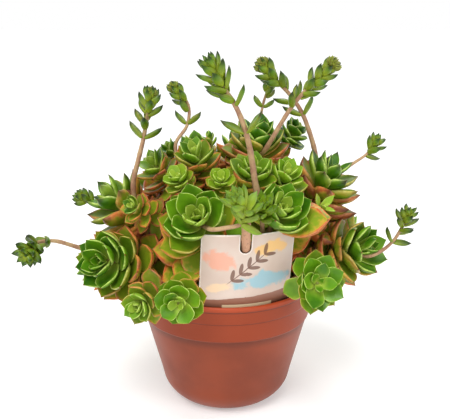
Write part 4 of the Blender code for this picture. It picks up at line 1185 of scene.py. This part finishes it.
def clayPlastic():
    # Injection-moulded polypropylene in a clay colour: satin, faintly cloudy, with fine turning lines,
    # painted shade under each step and a painted highlight along the lip
    look = potLook
    made, add, shader = newMaterial("mouldedClayPlastic")
    where = add("TexCoord", out="Object")
    height = add("Math", [add("SeparateXYZ", [where], "Z"), 1 / mm], operation="MULTIPLY")
    cloud = add("TexNoise", {"Vector": where, "Scale": look["cloud"], "Detail": 4.0})
    speckle = add("TexNoise", {"Vector": where, "Scale": look["speckle"]})
    clay = linear(look["clay"])
    # Cloudy darker drifts, the cleaner collar, a painted highlight on the lip, and pale flecks
    for key, value in (("dark", cloud), ("collar", height), ("lipHighlight", height), ("fleck", speckle)):
        clay = coat(add, clay, look[key], value)
    for top, deep, strength in look["paintedStepShades"]:
        # Painted shade: the wall is darkened just under each step, where the ledge above it shades it
        above = add("MapRange", [height, *(top + rise for rise in look["paintedShadeTop"])], **smoothStep)
        clay = coat(add, clay, (look["shade"], top - deep, top, 0.0, strength), height, above)
    turns = add("Math", [height, 2 * math.pi / look["lineStep"]], operation="MULTIPLY")
    lines = add("Math", [turns], operation="SINE")
    relief = add("Math", [lines, look["lineDepth"], speckle], operation="MULTIPLY_ADD")
    feed(shader, {"Base Color": clay, "Roughness": add("MapRange", [cloud, *look["gloss"]], **smoothStep),
                  "Normal": add("Bump", {"Height": relief, "Strength": 0.25, "Distance": look["relief"]}),
                  "IOR": 1.49, "Specular IOR Level": 0.3})
    return made


def makePot():
    form = potForm
    corners = form["inner"] + form["outer"]
    floor = form["inner"][0][1]
    reaches = [form["footRound"] if 0 < z < form["footBelow"] and z != floor else form["round"]
               for r, z in corners]
    profile = addRuns(roundedProfile(corners, reaches), form["longest"]) * mm
    pot = meshPiece("pot_body", *turnedSurface(profile, form["steps"]), [clayPlastic()])
    for i in range(form["drainCount"]):
        place = direction(90 + 360 * i / form["drainCount"], 0) * form["drainCircle"] * mm
        bpy.ops.mesh.primitive_cylinder_add(vertices=form["drainSides"], radius=form["drainRadius"] * mm,
                                            depth=form["drainCut"] * mm, location=place)
        drain = bpy.context.object
        boolean = pot.modifiers.new("drain", "BOOLEAN")
        boolean.object = drain
        boolean.solver = "EXACT"
        bpy.context.view_layer.update()
        cut = bpy.data.meshes.new_from_object(pot.evaluated_get(bpy.context.evaluated_depsgraph_get()))
        pot.modifiers.clear()
        pot.data = cut
        bpy.data.objects.remove(drain, do_unlink=True)
    standFor(pot, "pot")


# Compost, in mm

soilForm = {
    "rings": 44,
    "crowding": 0.8,
    "steps": 132,
    "edge": 66.6,
    "wall": [(65.4, 73.0), (52.1, 24.2), (50.8, 17.4), (45.9, 9.6), (36.0, 2.9), (0.0, 2.9)],
    "lumps": [(9.0, 1.6, 3), (3.0, 0.8, 4)],  # size, height, seed
    "sink": 1.2,
    "topAbove": 80.0,
}
soilLook = {
    "dark": "1d140d",
    "crumb": "4a3524",
    "fibre": ("8a6b48", 0.66, 0.74, 0.0, 0.5),
    "crumbScale": 420.0,  # crumbs of 2 to 3 mm
    "fibreScale": 700.0,  # fibres about 1 mm wide
    "relief": 0.8 * mm,
}


def compost():
    # Moist peat compost: near-black brown crumbs with a few pale fibres
    look = soilLook
    made, add, shader = newMaterial("moistCompost")
    where = add("TexCoord", out="Object")
    crumbs = add("TexVoronoi", {"Vector": where, "Scale": look["crumbScale"]}, "Color")
    tone = add("SeparateColor", [crumbs])
    fibre = add("TexNoise", {"Vector": where, "Scale": look["fibreScale"], "Detail": 3.0, "Roughness": 0.6,
                             "Distortion": 2.0})
    earth = add("Mix", {0: tone, 6: linear(look["dark"]), 7: linear(look["crumb"])}, 2, **colorMix)
    feed(shader, {"Base Color": coat(add, earth, look["fibre"], fibre), "Roughness": 0.9,
                  "Normal": add("Bump", {"Height": tone, "Strength": 0.8, "Distance": look["relief"]})})
    return made


def makeSoil():
    # The compost's top is a low dome with lumps and crumbs; a plain wall and floor close it inside the pot
    form = soilForm
    r = np.linspace(0, 1, form["rings"]) ** form["crowding"]
    fall = clump["soilEdge"] - clump["soilMiddle"]
    top = np.stack([r * form["edge"], clump["soilMiddle"] + fall * r], axis=-1)
    points, quads, triangles = turnedSurface(np.concatenate([top, form["wall"]]) * mm, form["steps"])
    x, y = points[:, 0] + 1, points[:, 1] + 1
    lumps = sum(latticeNoise(x, y, size * mm, seed) * tall for size, tall, seed in form["lumps"])
    points[:, 2] += np.where(points[:, 2] > form["topAbove"] * mm, (lumps - form["sink"]) * mm, 0)
    soil = meshPiece("soil_bed", points, quads, triangles, [compost()])
    standFor(soil, "soil")


# Label, in mm on the card, across from its middle and up from its foot

labelLook = {
    "ground": "ccb5a7",
    "paper": ("e6dbd0", 0.3, 0.7, 0.0, 0.4),
    "base": ("93634e", 9.0, 8.5),  # a brown base to this height
    "baseLean": -0.06,
    "border": ("e6dbd0", 1.0, 0.6),  # by the distance from the edge
    "tongue": ("f3dcb4", 102.7, 102.5),  # by height over the ground, left unprinted below
    "tongueSide": (19.6, 19.0),
    "ink": ("6f4a3a", 1.08, 0.92, 0.0, 0.88),  # by the distance from an oval's middle in half sizes
    "washEdge": (1.15, 0.75, 0.0),
    "washRagged": 2.2,
    "washes": [  # middle, half size, turn in degrees, colour, strength
        ((17, 49), (15, 5.5), 6, "eebf78", 0.9),
        ((-22, 40), (12, 8), -12, "e8a48a", 0.85),
        ((11, 22), (19, 7), 3, "93b9c4", 0.95),
        ((-24, 17), (9, 4), 10, "f0cda0", 0.7),
    ],
    # A plain sprig: its stem from foot to tip, pairs of leaves, and a leaf's half length and width
    "stemFrom": (-17, 20), "stemTo": (13, 45), "stemHalf": 0.45, "pairs": 5, "leafHalf": (4.6, 1.5),
    "leafTurn": 42, "firstLeaf": 0.6,
    "washScale": 90.0,  # ragged edges of the washes, in bays of about 11 mm
    "paperScale": 30.0,  # the card's own shade, in drifts of about 33 mm
    "toothScale": 900.0,  # paper tooth of about 1 mm
    "relief": 0.1 * mm,
}


def sprigOvals():
    # Middle, half size and turn of the sprig's stem and leaves
    look = labelLook
    start, end = np.array(look["stemFrom"], float), np.array(look["stemTo"], float)
    lean = math.degrees(math.atan2(end[1] - start[1], end[0] - start[0]))
    ovals = [((start + end) / 2, (np.linalg.norm(end - start) / 2, look["stemHalf"]), lean)]
    for k in range(look["pairs"]):
        base = start + (end - start) * (k + look["firstLeaf"]) / look["pairs"]
        for side in (-1, 1):
            turn = math.radians(lean + side * look["leafTurn"])
            middle = base + np.array([math.cos(turn), math.sin(turn)]) * look["leafHalf"][0]
            ovals.append((middle, look["leafHalf"], math.degrees(turn)))
    return ovals


def labelMaterial():
    # Coated card: soft printed washes and a plain sprig under a thin gloss, with a bare cream border
    look = labelLook
    made, add, shader = newMaterial("coatedLabelCard")
    place = add("Attribute", out="Vector", attribute_name="cardPlace")
    across, height, border = add("SeparateXYZ", [place], None)
    flat = add("CombineXYZ", [across, height])
    where = add("TexCoord", out="Object")
    ragged = add("TexNoise", {"Vector": where, "Scale": look["washScale"], "Detail": 5.0, "Roughness": 0.62})
    ragged = add("Math", [ragged, 0.5], operation="SUBTRACT")
    paper = add("TexNoise", {"Vector": where, "Scale": look["paperScale"], "Detail": 3.0})
    tooth = add("TexNoise", {"Vector": where, "Scale": look["toothScale"]})

    def ovalDistance(middle, half, turn, rough=0.0):
        # How far a place is from the oval's middle, in half sizes, raggedly if asked
        own = add("Mapping", {"Vector": flat, "Location": (*middle, 0.0), "Scale": (*half, 1.0),
                              "Rotation": (0.0, 0.0, math.radians(turn))}, vector_type="TEXTURE")
        far = add("VectorMath", [own], "Value", operation="LENGTH")
        return add("Math", [ragged, rough, far], operation="MULTIPLY_ADD")

    card = coat(add, linear(look["ground"]), look["paper"], paper)
    for middle, half, turn, colorHex, strength in look["washes"]:
        far = ovalDistance(middle, half, turn, look["washRagged"])
        card = coat(add, card, (colorHex, *look["washEdge"], strength), far)
    line = add("Math", [ragged, 2.0, height], operation="MULTIPLY_ADD")
    line = add("Math", [across, look["baseLean"], line], operation="MULTIPLY_ADD")
    card = coat(add, card, look["base"], line)
    for oval in sprigOvals():
        card = coat(add, card, look["ink"], ovalDistance(*oval))
    card = coat(add, card, look["border"], border)
    above = add("Math", [add("SeparateXYZ", [where], "Z"), 1 / mm], operation="MULTIPLY")
    aside = add("Math", [across], operation="ABSOLUTE")
    within = add("MapRange", [aside, *look["tongueSide"]], **smoothStep)
    card = coat(add, card, look["tongue"], above, within)
    feed(shader, {"Base Color": card, "Roughness": 0.42, "IOR": 1.5, "Coat Weight": 0.1,
                  "Coat Roughness": 0.25,
                  "Normal": add("Bump", {"Height": tooth, "Strength": 0.1, "Distance": look["relief"]})})
    return made


def cardColumns():
    # Where the card's columns stand: evenly between its sides, notch and tongue, whose columns are doubled,
    # and closer round the corners and the notch
    w, n, c, m = label["halfWidth"], label["notchHalfWidth"], label["corner"], label["notchMiddle"]
    tongue, hair = label["tongueHalfWidth"], label["hair"]
    marks = [-w, -tongue - hair, -tongue, m - n - hair, m - n, m + n, m + n + hair, tongue, tongue + hair, w]
    quarter = w - c * (1 - np.cos(np.linspace(0, np.pi / 2, label["cornerPoints"])))
    notch = m + n * np.sin(np.linspace(-np.pi / 2, np.pi / 2, label["notchPoints"]))
    runs = [np.linspace(a, b, int((b - a) / label["columnStep"]) + 2) for a, b in zip(marks, marks[1:])]
    return np.unique(np.concatenate(runs + [quarter, -quarter, notch]))


def makeLabel():
    # The card is a strip of a cone. Each column runs from the foot's outline up to the top's, which drops
    # for the U notch and the rounded corners.
    w, n, c, m = label["halfWidth"], label["notchHalfWidth"], label["corner"], label["notchMiddle"]
    notchEnd = label["top"] - label["notchDepth"] + n
    columns = cardColumns()
    corner = np.clip((np.abs(columns) - (w - c)) / c, 0, 1)
    inNotch = np.abs(columns - m) <= n
    top = label["top"] - c * (1 - np.sqrt(1 - corner ** 2))
    top = np.where(inNotch, notchEnd - np.sqrt(np.clip(n ** 2 - (columns - m) ** 2, 0, None)), top)
    foot = np.where(np.abs(columns) <= label["tongueHalfWidth"], label["tongueBottom"], label["foot"])
    share = np.linspace(0, 1, label["rows"])[:, None]
    height = foot + (top - foot) * share
    x = columns + 0 * share
    radius = label["radius"] + (height - label["foot"]) * label["slope"]
    depth = np.sqrt(radius ** 2 - x ** 2)
    points = np.stack([*cardPlace(x, depth), height], axis=-1)
    border = np.minimum(w - np.abs(x), np.where(inNotch, label["plainBorder"], label["top"] - height))
    notchGap = np.hypot(x - m, np.minimum(height - notchEnd, 0)) - n
    border = np.minimum(border, np.maximum(notchGap, 0))
    place = np.stack([x, height - label["foot"], border], axis=-1)
    card = meshPiece("label_card", points.reshape(-1, 3) * mm, gridFaces(label["rows"], len(columns), False),
                     np.zeros((0, 3), int), [labelMaterial()], None, {"cardPlace": place.reshape(-1, 3)})
    solid = card.modifiers.new("thickness", "SOLIDIFY")
    solid.thickness = label["thickness"] * mm
    solid.offset = 0
    standFor(card, "label")


# Stage, lamps and camera

def looking(heading):
    # The turn of a lamp that shines along a heading
    return Vector(heading).to_track_quat("-Z", "Y").to_euler()


def makeStage():
    # A white sheet lit from below, and air that is brightest at the horizon
    bpy.ops.mesh.primitive_plane_add(size=studio["floorSize"])
    floor = bpy.context.object
    floor.name = "studio_floor"
    made, add, shader = newMaterial("litAcrylicSheet")
    feed(shader, {"Base Color": linear(studio["floorHex"]), "Roughness": 0.8,
                  "Emission Color": linear("ffffff"), "Emission Strength": studio["floorGlow"]})
    floor.data.materials.append(made)
    bpy.context.scene.view_settings.view_transform = "Standard"
    world = bpy.data.worlds.new("studioAir")
    bpy.context.scene.world = world
    world.use_nodes = True
    aim = addNode(world.node_tree, "TexCoord", out="Generated")
    high = addNode(world.node_tree, "SeparateXYZ", [aim], "Z")
    strength = addNode(world.node_tree, "MapRange", [high, *studio["air"]], **smoothStep)
    feed(world.node_tree.nodes["Background"], {"Strength": strength, "Color": linear("ffffff")})


def makeLights():
    sun = bpy.data.lights.new("softSun", "SUN")
    sun.energy = studio["sunPower"]
    sun.angle = math.radians(studio["sunSpread"])
    putObject("softSun", sun, turn=looking(-Vector(studio["sunFrom"])))
    for i, (place, size, watts, colorHex) in enumerate(studio["lamps"]):
        lamp = bpy.data.lights.new("softbox_%d" % i, "AREA")
        lamp.size = size
        lamp.energy = watts
        lamp.color = linear(colorHex)[:3]
        putObject("softbox_%d" % i, lamp, place, looking(Vector(studio["lampAim"]) - Vector(place)))


def makeCamera():
    eye = bpy.data.cameras.new("photoCamera")
    eye.lens = camera["lens"]
    eye.sensor_width = camera["sensor"]
    eye.shift_x = (camera["photoWidth"] / 2 - camera["middleColumn"]) / camera["photoWidth"]
    turn = (math.radians(90 - camera["down"]), 0, 0)
    bpy.context.scene.camera = putObject("photoCamera", eye, camera["place"], turn)


makeStage()
makeLights()
makeCamera()
print("stage, lamps and camera")
makePot()
makeSoil()
makeLabel()
print("pot, compost and label")
takenSpace = [nodeTree(name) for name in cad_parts] + [labelFrontTree()]
placedLeaves = []
headPlans = {row[0]: planHead(row) for row in headRows}
growHeads(headPlans, takenSpace, placedLeaves)
growStalks(headPlans, takenSpace, placedLeaves)
